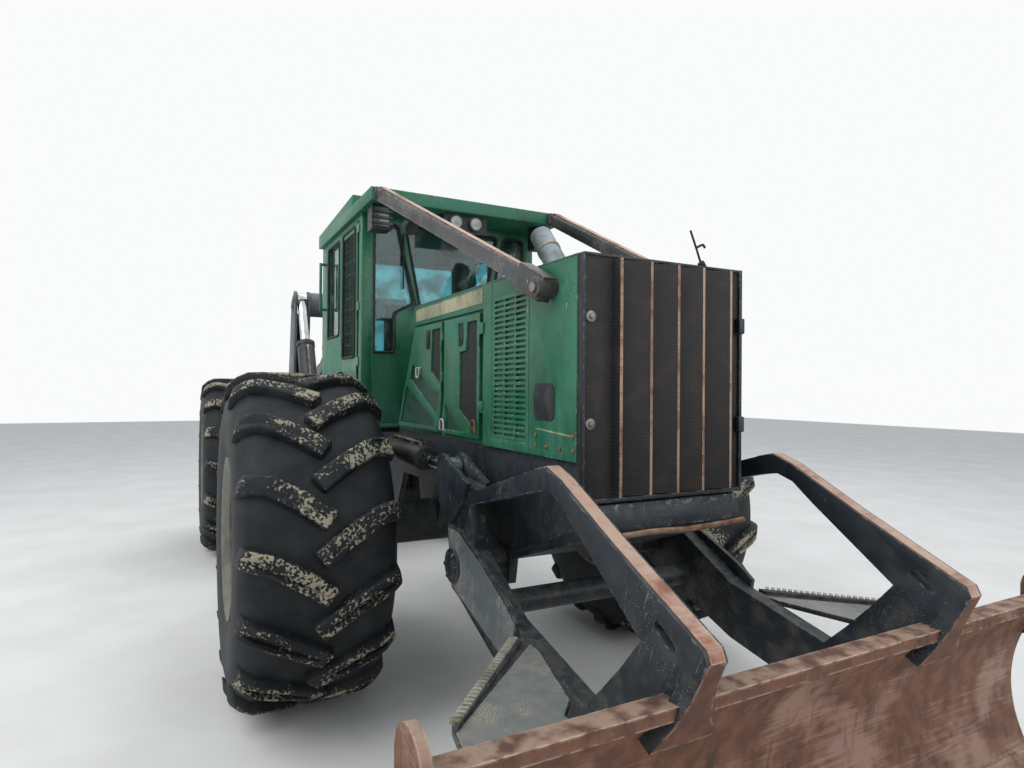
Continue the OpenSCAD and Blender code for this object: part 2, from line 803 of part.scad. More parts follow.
module push_side() {
    difference() {
        union() {
            side_plate(-arm_out, -arm_out + arm_t) difference() {
                union() {
                    polygon(concat(upper_line, lower_line));
                    translate(push_pin) circle(120);
                }
                polygon(arm_opening);
                // clear of the rod's eye
                translate([2600, 1240]) square([230, 240]);
                blade_room() circle(blade_r + blade_t);
            }
            side_plate(-arm_out - 20, -arm_out + 1) polygon(outer_plate);
            // step beside the arm, with a raised grip strip along its slanted edge
            translate([0, 0, step_z]) linear_extrude(20) polygon(step_outline);
            translate([0, 0, step_z + 19]) linear_extrude(16)
                polygon([step_outline[0] + [0, -30], step_outline[6], step_outline[6] + [30, 6],
                         step_outline[0] + [45, -24]]);
            claw();
        }
        cross_bar(push_pin, -arm_out - 30, -arm_y + arm_t, 60 + fit);
        // hand hole at the strut's tip
        side_plate(-arm_out - 1, -arm_out + arm_t + 1) slot_hole([4325, 1085], [4385, 1045], 14);
        side_plate(-blade_w / 2, 0) blade_section();
    }
    ears(-arm_y, arm_t - 2, 24) {
        translate(blade_eye) circle(75);
        polygon([[2655, 1345], [2690, 1180], [2850, 1100], [3000, 1230], [3040, 1310], [2790, 1400]]);
    }
}

// Plate that flares from the strut's tip down over the front of the blade's edge
claw_run = [125, 265];
claw_w = 240;
claw_t = 55;
claw_neck = arm_t / 2 - 3;
module claw() {
    translate([claw_top.x, -arm_y, claw_top.y]) rotate([0, atan2(claw_run.x, claw_run.y), 0])
        cross_plate(-claw_t, 0) polygon(
            [[-claw_neck, 0], [claw_neck, 0], [arm_t / 2 + 6, -130], [arm_t / 2 + 30, -210],
             [claw_w / 2, -norm(claw_run)], [-claw_w / 2, -norm(claw_run)],
             [-arm_t / 2 - 30, -210], [-arm_t / 2 - 6, -130]]);
}

module slot_hole(p, q, r) {
    turn = atan2(q.y - p.y, q.x - p.x);
    translate(p) circle(r);
    translate(q) circle(r);
    translate(p) rotate(turn) translate([0, -r]) square([norm(q - p), 2 * r]);
}

module push_frame() {
    color(dark) {
        both_sides() push_side();
        cross_bar(push_tube, -arm_y, arm_y, 55);
    }
}

// The blade from the side: a curved plate, a rail along its top and a cutting edge below
blade_rail = [[4350, blade_top - 40], [4425, blade_top]];
edge_t = 14;
edge_h = 150;

// What is drawn round the middle of the blade's curve, from top down to the given height
module blade_room(top = blade_top) {
    intersection() {
        translate(blade_mid) children();
        translate([4000, blade_low]) square([500, top - blade_low]);
    }
}

module blade_section() {
    blade_room() difference() {
        circle(blade_r + blade_t);
        circle(blade_r);
    }
    translate(blade_rail[0]) square(blade_rail[1] - blade_rail[0]);
}

module blade_edge() {
    blade_room(blade_low + edge_h) difference() {
        circle(blade_r + 1);
        circle(blade_r - edge_t);
    }
}

// Rounded plate at each end, which keeps the logs on the blade
module end_cap() {
    translate(cap_mid) circle(cap_r);
    translate(cap_mid - [cap_r, 200]) square([2 * cap_r, 200]);
}

cap_r = 95;
cap_mid = [4400, blade_top + 15];
module stacking_blade() {
    color(rust) {
        side_plate(-blade_w / 2, blade_w / 2) blade_section();
        side_plate(-blade_w / 2 + 30, blade_w / 2 - 30) blade_edge();
        both_sides() side_plate(-blade_w / 2, -blade_w / 2 + 28) end_cap();
    }
}

module blade_barrels() {
    color(dark) both_sides()
        barrel(blade_cyl_base, blade_eye, -arm_y, 70, 735, 62, 33, 48, blade_ear_w - 2, 22);
}

module blade_rods() {
    color(steel) both_sides() rod(blade_cyl_base, blade_eye, -arm_y, 300, 33, 55, arm_t - 12);
}

// Steering cylinders, in a level plane

module steer_barrel() {
    d = steer_eye - steer_base;
    lean = atan2(-d.y, d.x);
    color(dark) translate([steer_base.x, -steer_base.y, steer_z]) difference() {
        union() {
            cylinder(h = 98, r = 50, center = true);
            rotate([0, 90, lean]) cylinder(h = 640, r = 48);
        }
        rotate([0, 90, lean]) translate([0, 0, 90]) cylinder(h = 551, r = 27 + fit);
        cylinder(h = 100, r = 22 + fit, center = true);
    }
}

module steer_rod() {
    d = steer_eye - steer_base;
    color(steel) {
        translate([steer_base.x, -steer_base.y, steer_z]) rotate([0, 90, atan2(-d.y, d.x)])
            translate([0, 0, 340]) cylinder(h = norm(d) - 340, r = 27);
        translate([steer_eye.x, -steer_eye.y, steer_z]) cylinder(h = 60, r = 45, center = true);
    }
}

module steer_barrel_right() steer_barrel();
module steer_barrel_left() mirror([0, 1, 0]) steer_barrel();
module steer_rod_right() steer_rod();
module steer_rod_left() mirror([0, 1, 0]) steer_rod();

// Rear frame

rear_y = 360;
rear_deck_low = axle_z + diff_r + 80;
rear_deck_top = rear_deck_low + 35;
tie_eye = [-2820, 820];
tie_y = 250;
tie_t = 50;
tie_r = 32;
rear_plate = [-380, -340];
module rear_frame() {
    color(dark) {
        difference() {
            union() {
                both_sides() side_plate(-rear_y, -rear_y + 40)
                    polygon([[rear_plate[0], hinge_low + 40], [rear_plate[0], 1230], [-900, rear_deck_top], [-2100, rear_deck_top],
                             [-2750, 1180],
                             [-2750, 700], [-2300, 700], [-2150, axle_z + axle_r + fit],
                             [-1580, axle_z + axle_r + fit], [-1450, 760], [-700, 760]]);
                block([-2750, -450, 700], [-2700, 450, 1200]);
                // eyes for tie-down chains
                both_sides() side_plate(-tie_y - tie_t / 2, -tie_y + tie_t / 2)
                    polygon([[-2749, 740], [-2749, 900], tie_eye + [-40, 50], tie_eye + [-60, 0],
                             tie_eye + [-40, -50]]);
                block([-2100, -rear_y + 39, rear_deck_low], [-900, rear_y - 39, rear_deck_top]);
                // pins of the arch
                both_sides() cross_bar(arch_pin, -leg_y - leg_gap / 2 - 50, -rear_y + 1, 80);
                // brackets of the arch cylinders
                both_sides() {
                    block([arch_cyl_base.x - 90, -leg_y - leg_gap / 2 - leg_t, 1050],
                          [arch_cyl_base.x + 90, -rear_y + 1, 1080]);
                    ears(-leg_y, leg_gap, leg_t) polygon(
                        [arch_cyl_base + [-90, -130], arch_cyl_base + [90, -130], arch_cyl_base + [60, 50],
                         arch_cyl_base + [-60, 50]]);
                    cross_bar(arch_cyl_base, -leg_y - leg_gap / 2 - leg_t, -leg_y + leg_gap / 2 + leg_t, 30);
                }
            }
            both_sides() cross_bar(tie_eye, -tie_y - tie_t, -tie_y + tie_t, tie_r);
        }
    }
}

module rear_hinge() {
    color(dark) difference() {
        union() {
            block([rear_plate[0], -rear_y, hinge_low + 40], [rear_plate[1], rear_y, 1230]);
            for (z = [hinge_low + lug_t + clear, hinge_high - 2 * lug_t - clear])
                translate([0, 0, z]) linear_extrude(lug_t) {
                    circle(hinge_r);
                    polygon([[0, -hinge_r], [rear_plate[1] - 1, -250], [rear_plate[1] - 1, 250],
                             [0, hinge_r]]);
                }
            // arms that take the steering rods
            for (z = [steer_z - 60, steer_z + 35])
                translate([0, 0, z]) linear_extrude(25)
                    polygon([[rear_plate[1] - 1, -rear_y], [-20, -steer_eye.y - 40],
                             [-20, -steer_eye.y + 50], [rear_plate[1] - 1, -120],
                             [rear_plate[1] - 1, 120], [-20, steer_eye.y - 50],
                             [-20, steer_eye.y + 40], [rear_plate[1] - 1, rear_y]]);
        }
        translate([0, 0, hinge_low]) cylinder(h = hinge_high - hinge_low, r = hinge_pin_r + fit);
    }
}

// Gap between the two plates of an arch leg, and their thickness
leg_gap = 112;
leg_t = 25;
leg_out = leg_gap / 2 + leg_t;
saddle_r = 122;
module arch() {
    web_foot = arch_pin + [-112, 100];
    web_head = boom_pin + [-108, -80];
    color(rust) difference() {
        union() {
            both_sides() ears(-leg_y, leg_gap, leg_t) {
                translate(arch_pin) circle(130);
                translate(boom_pin) circle(110);
                translate(arch_eye) circle(90);
                translate(boom_cyl_base) circle(80);
                polygon([[arch_pin.x - 130, arch_pin.y], [boom_pin.x - 110, boom_pin.y],
                         [arch_eye.x + 90, arch_eye.y], [arch_pin.x + 290, 1480],
                         [arch_pin.x + 130, arch_pin.y]]);
            }
            // web that closes the back of a leg
            both_sides() side_plate(-leg_y - leg_gap / 2 - 1, -leg_y + leg_gap / 2 + 1)
                polygon([web_foot, web_head, web_head + [leg_t, 0], web_foot + [leg_t, 0]]);
            // cross tube that carries the boom cylinders
            cross_bar(boom_cyl_base, -leg_y - leg_out, leg_y + leg_out, 45);
            // saddle plate that curves round the boom's pin
            side_plate(-leg_y + leg_gap / 2, leg_y - leg_gap / 2) intersection() {
                translate(boom_pin) difference() {
                    circle(saddle_r + 30);
                    circle(saddle_r);
                }
                translate(boom_pin + [20, -120]) square([200, 300]);
            }
            // pin of the boom
            cross_bar(boom_pin, -leg_y, leg_y, 50);
        }
        both_sides() cross_bar(arch_pin, -leg_y - leg_out - 1, -leg_y + leg_out + 1, 80 + fit);
        // clear of the rods' eyes
        both_sides() cross_bar(arch_eye, -leg_y - leg_gap / 2, -leg_y + leg_gap / 2, 130);
    }
}

module arch_barrels() {
    color(dark) both_sides() barrel(arch_cyl_base, arch_eye, -leg_y, 130, 1150, 88, 48, 80, leg_gap - 2, 30);
}

module arch_rods() {
    color(steel) both_sides() rod(arch_cyl_base, arch_eye, -leg_y, 373, 48, 70, leg_gap - 12);
}

boom_half = 150;
boom_rod_r = 34;
boom_boss = boom_cyl_y - boom_rod_r - clear;
fork_half = 62;
module boom() {
    color(rust) difference() {
        union() {
            side_plate(-boom_half, boom_half) {
                polygon([boom_pin + [0, 110], elbow + [60, 130], elbow + [-60, 120], tip + [0, 75],
                         tip + [0, -75], elbow + [-20, -130], elbow + [60, -130], boom_pin + [0, -110]]);
                translate(tip) circle(75);
                translate(boom_pin) circle(110);
            }
            cross_bar(boom_pin, -leg_y + leg_gap / 2 + leg_t + clear, leg_y - leg_gap / 2 - leg_t - clear, 90);
            // doubler plates at the pins and along the beam
            for (side = [-1, 1])
                side_plate(side * (boom_half + 6) - 7, side * (boom_half + 6) + 7) {
                    translate(boom_pin) circle(95);
                    polygon([boom_eye + [90, 60], boom_eye + [90, -70], elbow + [40, -60], elbow + [40, 60]]);
                }
            // bosses that the boom cylinders pull on
            cross_bar(boom_eye, -boom_boss, boom_boss, 60);
        }
        cross_bar(boom_pin, -leg_y, leg_y, 50 + fit);
        // fork at the tip
        block([tip.x - 100, -fork_half, tip.y - 200], [tip.x + 170, fork_half, tip.y + 200]);
        cross_bar(tip, -boom_half - 1, boom_half + 1, 40 + fit);
    }
}

module boom_barrels() {
    color(dark) both_sides()
        barrel(boom_cyl_base, boom_eye, -boom_cyl_y, 85, 740, 60, boom_rod_r, 80, 90, 45);
}

module boom_rods() {
    color(steel) both_sides() rod(boom_cyl_base, boom_eye, -boom_cyl_y, 190, boom_rod_r, 55, 40);
}

link_low = 1250;
stub_r = 60;
module grapple_link() {
    color(dark) {
        cross_bar(tip, -fork_half + clear, fork_half - clear, 80);
        cross_bar(tip, -boom_half - 10, boom_half + 10, 40);
        block([tip.x - 70, -fork_half + clear, link_low + 20], [tip.x + 70, fork_half - clear, tip.y]);
        translate([tip.x, 0, link_low]) cylinder(h = 40, r = 150);
        translate([tip.x, 0, link_low - 50]) cylinder(h = 51, r = stub_r);
    }
}

tong_pin_r = 45;
module grapple_head() {
    color(dark) difference() {
        union() {
            block([-grapple_x - 170, -230, 940], [-grapple_x + 170, 230, 1130]);
            translate([-grapple_x, 0, 1129]) cylinder(h = link_low - clear - 1129, r = 130);
            for (s = [-1, 1])
                long_bar([s * tong_pin.x, tong_pin.y], -grapple_x - 217, -grapple_x + 217, tong_pin_r);
        }
        translate([-grapple_x, 0, link_low - 51]) cylinder(h = 60, r = stub_r + fit);
    }
}

module tong_plates() {
    for (x = [-tong_x, tong_x])
        translate([-grapple_x, 0, 0]) cross_plate(x - tong_plate_t / 2, x + tong_plate_t / 2) difference() {
            union() {
                intersection() {
                    translate([0, tong_mid_z]) difference() {
                        circle(tong_r);
                        circle(tong_r - tong_t);
                    }
                    translate([-1000, 0]) square([1000 - clear / 2, 1000]);
                }
                translate([-tong_pin.x, tong_pin.y]) circle(90);
                polygon([[-tong_pin.x, tong_pin.y + 80], [-tong_lug.x, tong_lug.y + 50],
                         [-tong_lug.x - 45, tong_lug.y], [-tong_lug.x, tong_lug.y - 50], [-330, 860]]);
            }
            translate([-tong_pin.x, tong_pin.y]) circle(tong_pin_r + fit);
        }
    // scoop plate between the claws
    translate([-grapple_x, 0, 0]) cross_plate(-tong_x, tong_x) intersection() {
        translate([0, tong_mid_z]) difference() {
            circle(tong_r);
            circle(tong_r - 30);
        }
        translate([-1000, 60]) square([900, 500]);
    }
}

module tong_right() {
    color(dark) {
        tong_plates();
        for (s = [-1, 1])
            long_bar([-tong_lug.x, tong_lug.y], -grapple_x + s * 225 - 20, -grapple_x + s * 225 + 20, 40);
    }
}

module tong_left() {
    color(dark) {
        mirror([0, 1, 0]) tong_plates();
        for (s = [-1, 1])
            long_bar([tong_lug.x, tong_lug.y], -grapple_x + s * 253 - 47, -grapple_x + s * 253 + 47, 20);
    }
}

// Grapple cylinders lie across the grapple, one ahead of it and one behind
module grapple_barrels() {
    color(dark) for (s = [-1, 1]) translate([-grapple_x + s * tong_cyl_x, tong_lug.x, tong_lug.y]) {
        difference() {
            union() {
                rotate([0, 90, 0]) cylinder(h = 50, r = 45, center = true);
                rotate([90, 0, 0]) translate([0, 0, 60]) cylinder(h = 390, r = tong_cyl_r);
                rotate([90, 0, 0]) cylinder(h = 61, r = 24);
            }
            rotate([90, 0, 0]) translate([0, 0, 75]) cylinder(h = 380, r = 26 + fit);
            rotate([0, 90, 0]) cylinder(h = 60, r = 20 + fit, center = true);
        }
    }
}

module grapple_rods() {
    color(steel) for (s = [-1, 1]) translate([-grapple_x + s * tong_cyl_x, tong_lug.x, tong_lug.y]) {
        rotate([90, 0, 0]) translate([0, 0, 320]) cylinder(h = 2 * tong_lug.x - 320, r = 26);
        translate([0, -2 * tong_lug.x, 0]) rotate([0, 90, 0]) cylinder(h = 50, r = 40, center = true);
    }
}

front_frame();
front_hinge();
belly_guard();
engine_block();
front_axle();
hood();
grille_door();
engine_door_right_front();
engine_door_right_rear();
engine_door_left_front();
engine_door_left_rear();
louvre_panel_right();
louvre_panel_left();
limb_risers();
exhaust_stack();
cab_floor();
cab_front_wall();
cab_rear_wall();
cab_side_right();
cab_side_left();
cab_roof();
cab_glass();
cab_door_right();
cab_door_left();
operator_seat();
dash_console();
work_lights();
grab_rails();
push_frame();
stacking_blade();
blade_barrels();
blade_rods();
steer_barrel_right();
steer_barrel_left();
steer_rod_right();
steer_rod_left();
rear_frame();
rear_hinge();
rear_axle();
arch();
arch_barrels();
arch_rods();
boom();
boom_barrels();
boom_rods();
grapple_link();
grapple_head();
tong_right();
tong_left();
grapple_barrels();
grapple_rods();
rim_front_right();
rim_front_left();
rim_rear_right();
rim_rear_left();
tyre_front_right();
tyre_front_left();
tyre_rear_right();
tyre_rear_left();
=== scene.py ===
"""Looks of an articulated grapple skidder: worn green sheet metal, dark scratched frames, muddy tyres."""

import json
import logging
import math
from collections.abc import Sequence
from dataclasses import dataclass
from enum import Enum

import bpy
from mathutils import Matrix, Vector

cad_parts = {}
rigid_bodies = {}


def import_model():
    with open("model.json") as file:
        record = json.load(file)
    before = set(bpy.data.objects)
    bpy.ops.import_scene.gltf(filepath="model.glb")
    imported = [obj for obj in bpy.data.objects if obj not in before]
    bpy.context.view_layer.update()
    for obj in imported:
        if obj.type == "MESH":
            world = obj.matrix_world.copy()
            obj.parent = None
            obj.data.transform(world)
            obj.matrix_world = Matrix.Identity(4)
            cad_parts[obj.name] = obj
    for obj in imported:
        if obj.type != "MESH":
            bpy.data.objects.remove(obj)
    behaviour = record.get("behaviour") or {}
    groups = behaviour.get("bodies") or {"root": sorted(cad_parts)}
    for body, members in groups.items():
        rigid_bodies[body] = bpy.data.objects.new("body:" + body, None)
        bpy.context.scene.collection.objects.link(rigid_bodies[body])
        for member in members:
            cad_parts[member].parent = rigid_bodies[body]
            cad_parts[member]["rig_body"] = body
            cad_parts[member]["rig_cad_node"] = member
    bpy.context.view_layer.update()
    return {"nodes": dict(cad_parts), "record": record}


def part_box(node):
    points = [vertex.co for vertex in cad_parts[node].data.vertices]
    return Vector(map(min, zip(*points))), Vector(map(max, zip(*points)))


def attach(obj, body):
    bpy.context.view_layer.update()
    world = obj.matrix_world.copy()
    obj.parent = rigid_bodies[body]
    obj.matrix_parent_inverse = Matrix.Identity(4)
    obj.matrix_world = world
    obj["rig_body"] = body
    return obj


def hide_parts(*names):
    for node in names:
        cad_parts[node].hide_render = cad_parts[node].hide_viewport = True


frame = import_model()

PHOTO_W = 1024

logging.basicConfig(level=logging.INFO, format="%(levelname)s %(message)s")
log = logging.getLogger("skidder")

Piece = bpy.types.Object
Point = tuple[float, float, float]
Point2 = tuple[float, float]
Outline = tuple[Point2, ...]


class Slot(Enum):
    """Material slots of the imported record."""

    GREEN = "green_paint"
    FRAME = "dark_frame"
    WORN = "worn_plate"
    ROD = "chrome_rod"
    SCREEN = "screen_brown"
    BLOCK = "cast_block"
    STACK = "stack_steel"
    GLASS = "window_glass"
    CLOTH = "seat_cloth"
    PLASTIC = "black_plastic"
    RIM = "rim_paint"
    TYRE = "tyre_rubber"


class Side(Enum):
    """A side of the machine, valued by the sign of Y there."""

    RIGHT = -1
    LEFT = 1


# Colours and node trees


def linear(hex_code: str) -> tuple[float, float, float, float]:
    """Turns an sRGB hex colour to linear RGBA.

    Args:
        hex_code: Colour as "#rrggbb".

    Returns:
        Linear red, green, blue and an alpha of 1.
    """
    parts = [int(hex_code[i : i + 2], 16) / 255 for i in (1, 3, 5)]
    red, green, blue = (c / 12.92 if c <= 0.04045 else ((c + 0.055) / 1.055) ** 2.4 for c in parts)
    return red, green, blue, 1.0


@dataclass(frozen=True)
class Value:
    """A number that varies over the surface, which can be reckoned with."""

    graph: "Graph"
    socket: bpy.types.NodeSocket

    def __add__(self, other: object) -> "Value":
        """The sum."""
        return self.graph.math("ADD", self, other)

    def __sub__(self, other: object) -> "Value":
        """The difference."""
        return self.graph.math("SUBTRACT", self, other)

    def __rsub__(self, other: object) -> "Value":
        """The difference from a plain number."""
        return self.graph.math("SUBTRACT", other, self)

    def __mul__(self, other: object) -> "Value":
        """The product."""
        return self.graph.math("MULTIPLY", self, other)

    def __or__(self, other: object) -> "Value":
        """The larger of the two."""
        return self.graph.math("MAXIMUM", self, other)

    def step(self, low: float, high: float) -> "Value":
        """A soft step from 0 at low to 1 at high."""
        links = {"Value": self, "From Min": low, "From Max": high}
        return self.graph.value("ShaderNodeMapRange", {"interpolation_type": "SMOOTHSTEP"}, links)

    def spread(self, low: float, high: float) -> "Value":
        """The value from 0 to 1, spread from low to high."""
        return self.graph.value("ShaderNodeMapRange", links={"Value": self, "To Min": low, "To Max": high})


class Graph:
    """The node tree of one material, grown node by node."""

    def __init__(self, name: str) -> None:
        """Starts an empty material.

        Args:
            name: Name of the material.
        """
        self.material = bpy.data.materials.new(name)
        self.material.use_nodes = True
        self.tree = self.material.node_tree
        self.tree.nodes.clear()
        self.coords = self.value("ShaderNodeTexCoord", output="Object")

    def add(self, kind: str, settings: dict | None = None, links: dict | None = None) -> bpy.types.Node:
        """Adds one node with its settings and links.

        Args:
            kind: Blender's name of the node type.
            settings: Properties to set on the node.
            links: Inputs by name or index, each a value or node to link or a constant to set.

        Returns:
            The new node.
        """
        node = self.tree.nodes.new(kind)
        for key, value in (settings or {}).items():
            setattr(node, key, value)
        for key, value in (links or {}).items():
            if isinstance(value, Value):
                self.tree.links.new(value.socket, node.inputs[key])
            elif isinstance(value, bpy.types.Node):
                self.tree.links.new(value.outputs[0], node.inputs[key])
            else:
                node.inputs[key].default_value = value
        return node

    def value(
        self, kind: str, settings: dict | None = None, links: dict | None = None, output: int | str = 0,
    ) -> Value:
        """Adds one node and gives one of its outputs."""
        return Value(self, self.add(kind, settings, links).outputs[output])

    def finish(self, shader: bpy.types.Node) -> bpy.types.Material:
        """Links the last shader to the output and gives the finished material."""
        self.add("ShaderNodeOutputMaterial", links={"Surface": shader})
        return self.material

    def surface(self, colour: object, roughness: object, relief: Value | None = None, **more: float) -> bpy.types.Node:
        """A principled shader.

        Args:
            colour: Base colour as a hex code or value.
            roughness: Roughness, a number or value.
            relief: The surface's normal.
            more: Constants of the shader's other sockets, with _ for each space.

        Returns:
            The shader.
        """
        links = {"Base Color": linear(colour) if isinstance(colour, str) else colour, "Roughness": roughness}
        if relief is not None:
            links["Normal"] = relief
        links.update({key.replace("_", " "): value for key, value in more.items()})
        return self.add("ShaderNodeBsdfPrincipled", links=links)

    def axis(self, letter: str) -> Value:
        """The distance in metres along one axis, at rest."""
        return self.value("ShaderNodeSeparateXYZ", links={0: self.coords}, output=letter)

    def math(self, operation: str, a: object, b: object = 0.0) -> Value:
        """One sum of two values or numbers, by Blender's name of the operation."""
        return self.value("ShaderNodeMath", {"operation": operation}, {0: a, 1: b})

    def noise(self, size_mm: float, detail: float = 4.0, stretch: Point = (1, 1, 1)) -> Value:
        """A noise pattern of a real size, about 0.3 to 0.7.

        Args:
            size_mm: Width of one blotch in millimetres.
            detail: Number of finer layers.
            stretch: How many times longer the blotches are along X, Y and Z.

        Returns:
            The noise.
        """
        scale = tuple(1 / s for s in stretch)
        placed = self.add("ShaderNodeMapping", links={"Vector": self.coords, "Scale": scale})
        links = {"Vector": placed, "Scale": 1000 / size_mm, "Detail": detail}
        return self.value("ShaderNodeTexNoise", links=links)

    def mix(self, amount: object, under: object, over: object) -> Value:
        """Lays a share of one colour over another; each is a hex code or a value."""
        pair = [linear(c) if isinstance(c, str) else c for c in (under, over)]
        return self.value("ShaderNodeMix", {"data_type": "RGBA"}, {0: amount, 6: pair[0], 7: pair[1]}, 2)

    def edge(self, radius_mm: float) -> Value:
        """A mask that is 1 along outer edges and corners.

        Args:
            radius_mm: How far the wear reaches from an edge.

        Returns:
            The mask.
        """
        rounded = self.add("ShaderNodeBevel", {"samples": 3}, {"Radius": radius_mm / 1000})
        flat = self.value("ShaderNodeNewGeometry", output="True Normal")
        dot = self.value("ShaderNodeVectorMath", {"operation": "DOT_PRODUCT"}, {0: rounded, 1: flat}, "Value")
        return dot.step(0.995, 0.86)

    def upward(self) -> Value:
        """A mask of faces that look up, where dust settles and paint fades."""
        normal = self.value("ShaderNodeNewGeometry", output="Normal")
        return self.value("ShaderNodeSeparateXYZ", links={0: normal}, output="Z").step(0.2, 0.9)

    def scratches(self, width_mm: float, length_mm: float, turn: Point, cover: float) -> Value:
        """A mask of long thin scratches in one direction.

        Args:
            width_mm: Spacing of the scratches across their run.
            length_mm: Length of a scratch.
            turn: Angles in degrees that turn the run away from X.
            cover: Noise value above which the surface is scratched; lower means more.

        Returns:
            The mask.
        """
        angles = tuple(math.radians(a) for a in turn)
        placed = self.add("ShaderNodeMapping", links={"Vector": self.coords, "Rotation": angles})
        scale = (1000 / length_mm, 1000 / width_mm, 1000 / width_mm)
        drawn = self.add("ShaderNodeMapping", links={"Vector": placed, "Scale": scale})
        links = {"Vector": drawn, "Scale": 1.0, "Detail": 1.0, "Distortion": 0.25}
        return self.value("ShaderNodeTexNoise", links=links).step(cover, cover + 0.03)

    def bump(self, value: Value, depth_mm: float, under: Value | None = None) -> Value:
        """Turns a value to a surface relief.

        Args:
            value: Height pattern.
            depth_mm: Depth of the relief.
            under: A coarser relief below this one.

        Returns:
            The normal.
        """
        links = {"Height": value, "Strength": 1.0, "Distance": depth_mm / 1000}
        if under is not None:
            links["Normal"] = under
        return self.value("ShaderNodeBump", links=links)


# Finishes


@dataclass(frozen=True)
class Finish:
    """A surface finish that makes its own material once."""

    name: str
    slot: Slot

    def paint(self, g: Graph) -> bpy.types.Node:
        """Builds the shader; each kind of finish has its own."""
        raise NotImplementedError

    def material(self) -> bpy.types.Material:
        """Makes the finish's material on first use.

        Returns:
            The material.
        """
        if self.name in bpy.data.materials:
            return bpy.data.materials[self.name]
        g = Graph(self.name)
        return g.finish(self.paint(g))


@dataclass(frozen=True)
class Enamel(Finish):
    """Enamel sprayed on steel plate: faded patches, rain streaks, dust, scratches and chipped edges."""

    fresh: str
    faded: str
    bare: str
    dust: str
    grime: str = "#2a2b26"
    fade_from: float = 0.42
    fade_to: float = 0.68
    chips: float = 0.52
    scratch_cover: float = 0.66
    dust_top: float = 0.45
    gloss: float = 0.38
    dull: float = 0.72
    splash: float = 0.45
    # Heights in metres where splashed dirt starts and where it is full
    splash_top: float = 1.5
    splash_full: float = 0.5

    def paint(self, g: Graph) -> bpy.types.Node:
        """Lays fading, rain streaks, dust, scratches and chipped edges over the coat.

        Args:
            g: Graph of the material.

        Returns:
            The shader.
        """
        fine = g.noise(45, 6)
        blend = g.noise(420, 5) * 0.55 + fine * 0.2 + g.noise(30, 4, (1, 1, 14)) * 0.25
        fade = blend.step(self.fade_from, self.fade_to) | g.upward() * 0.6
        colour = g.mix(fade, self.fresh, self.faded)
        colour = g.mix(g.noise(160, 6).step(0.52, 0.7) * 0.35, colour, self.grime)
        settled = g.upward() * fine.step(0.4, 0.62)
        low_dirt = g.axis("Z").step(self.splash_top, self.splash_full) * g.noise(90, 6).step(0.42, 0.66)
        colour = g.mix(settled * self.dust_top | low_dirt * self.splash, colour, self.dust)
        marks = g.scratches(3.5, 420, (8, 14, 22), self.scratch_cover)
        marks = marks | g.scratches(4.5, 300, (70, 38, 64), self.scratch_cover + 0.01)
        marks = marks * g.noise(230, 4).step(0.5, 0.62)
        chipped = g.edge(7) * g.noise(28, 5).step(self.chips, self.chips + 0.06)
        worn = marks * 0.75 | chipped
        relief = g.bump(fine - worn, 0.5, g.bump(g.noise(260, 2), 3.0))
        return g.surface(g.mix(worn, colour, self.bare), fade.spread(self.gloss, self.dull), relief, IOR=1.5)


@dataclass(frozen=True)
class RustedPlate(Finish):
    """Plate whose coat is worn off by timber: pink primer, brown rust and dark remains in long rubs."""

    pale: str
    rust: str
    orange: str
    dark: str
    pale_from: float
    dust: str = "#c2ad98"
    bright: str = "#d2b6a4"

    def paint(self, g: Graph) -> bpy.types.Node:
        """Mixes pale primer, rust and dark scale, with rubs across and runs down.

        Args:
            g: Graph of the material.

        Returns:
            The shader.
        """
        wide = g.noise(300, 6)
        mid = g.noise(70, 7)
        rubs = g.noise(9, 3, (4, 22, 1))
        pale = (wide * 0.82 + rubs * 0.18).step(self.pale_from, self.pale_from + 0.13)
        colour = g.mix(pale, g.mix(mid.step(0.36, 0.64), self.rust, self.orange), self.pale)
        scale = g.noise(26, 4, (1, 1, 7)).step(0.48, 0.7) * g.noise(160, 5).step(0.46, 0.62)
        colour = g.mix(scale * 0.6, colour, self.dark)
        colour = g.mix(g.upward() * mid.step(0.35, 0.6) * 0.45, colour, self.dust)
        colour = g.mix(g.edge(9) * g.noise(40, 5).step(0.42, 0.55) * 0.7, colour, self.bright)
        relief = g.bump(mid + rubs * 0.5, 1.2, g.bump(wide, 4.0))
        return g.surface(colour, pale.spread(0.86, 0.6), relief, IOR=1.5)


@dataclass(frozen=True)
class MuddyRubber(Finish):
    """Cured tyre rubber: near black, with pale dried clay left on what stands out."""

    rubber: str = "#12171c"
    film: str = "#2a2d2f"
    clay: str = "#b5ae96"
    wet_clay: str = "#8f8a79"

    def paint(self, g: Graph) -> bpy.types.Node:
        """Lays a dusty film in the grooves and flaked clay on the tops, by the mesh's own rise.

        Args:
            g: Graph of the material.

        Returns:
            The shader.
        """
        rise = g.value("ShaderNodeAttribute", {"attribute_name": "rise"}, output="Fac")
        colour = g.mix(g.noise(120, 6).step(0.4, 0.65) * 0.6, self.rubber, self.film)
        flakes = g.noise(170, 3) * 0.5 + g.noise(15, 6) * 0.5
        tops = rise.step(0.72, 0.95) * flakes.step(0.505, 0.55)
        clay = tops | flakes.step(0.55, 0.6) * 0.35 * rise.step(0.0, 0.4)
        colour = g.mix(clay, colour, g.mix(g.noise(60, 4), self.clay, self.wet_clay))
        relief = g.bump(g.noise(9, 5) + clay * 1.5, 1.0)
        return g.surface(colour, clay.spread(0.62, 0.95), relief, Specular_IOR_Level=0.3)


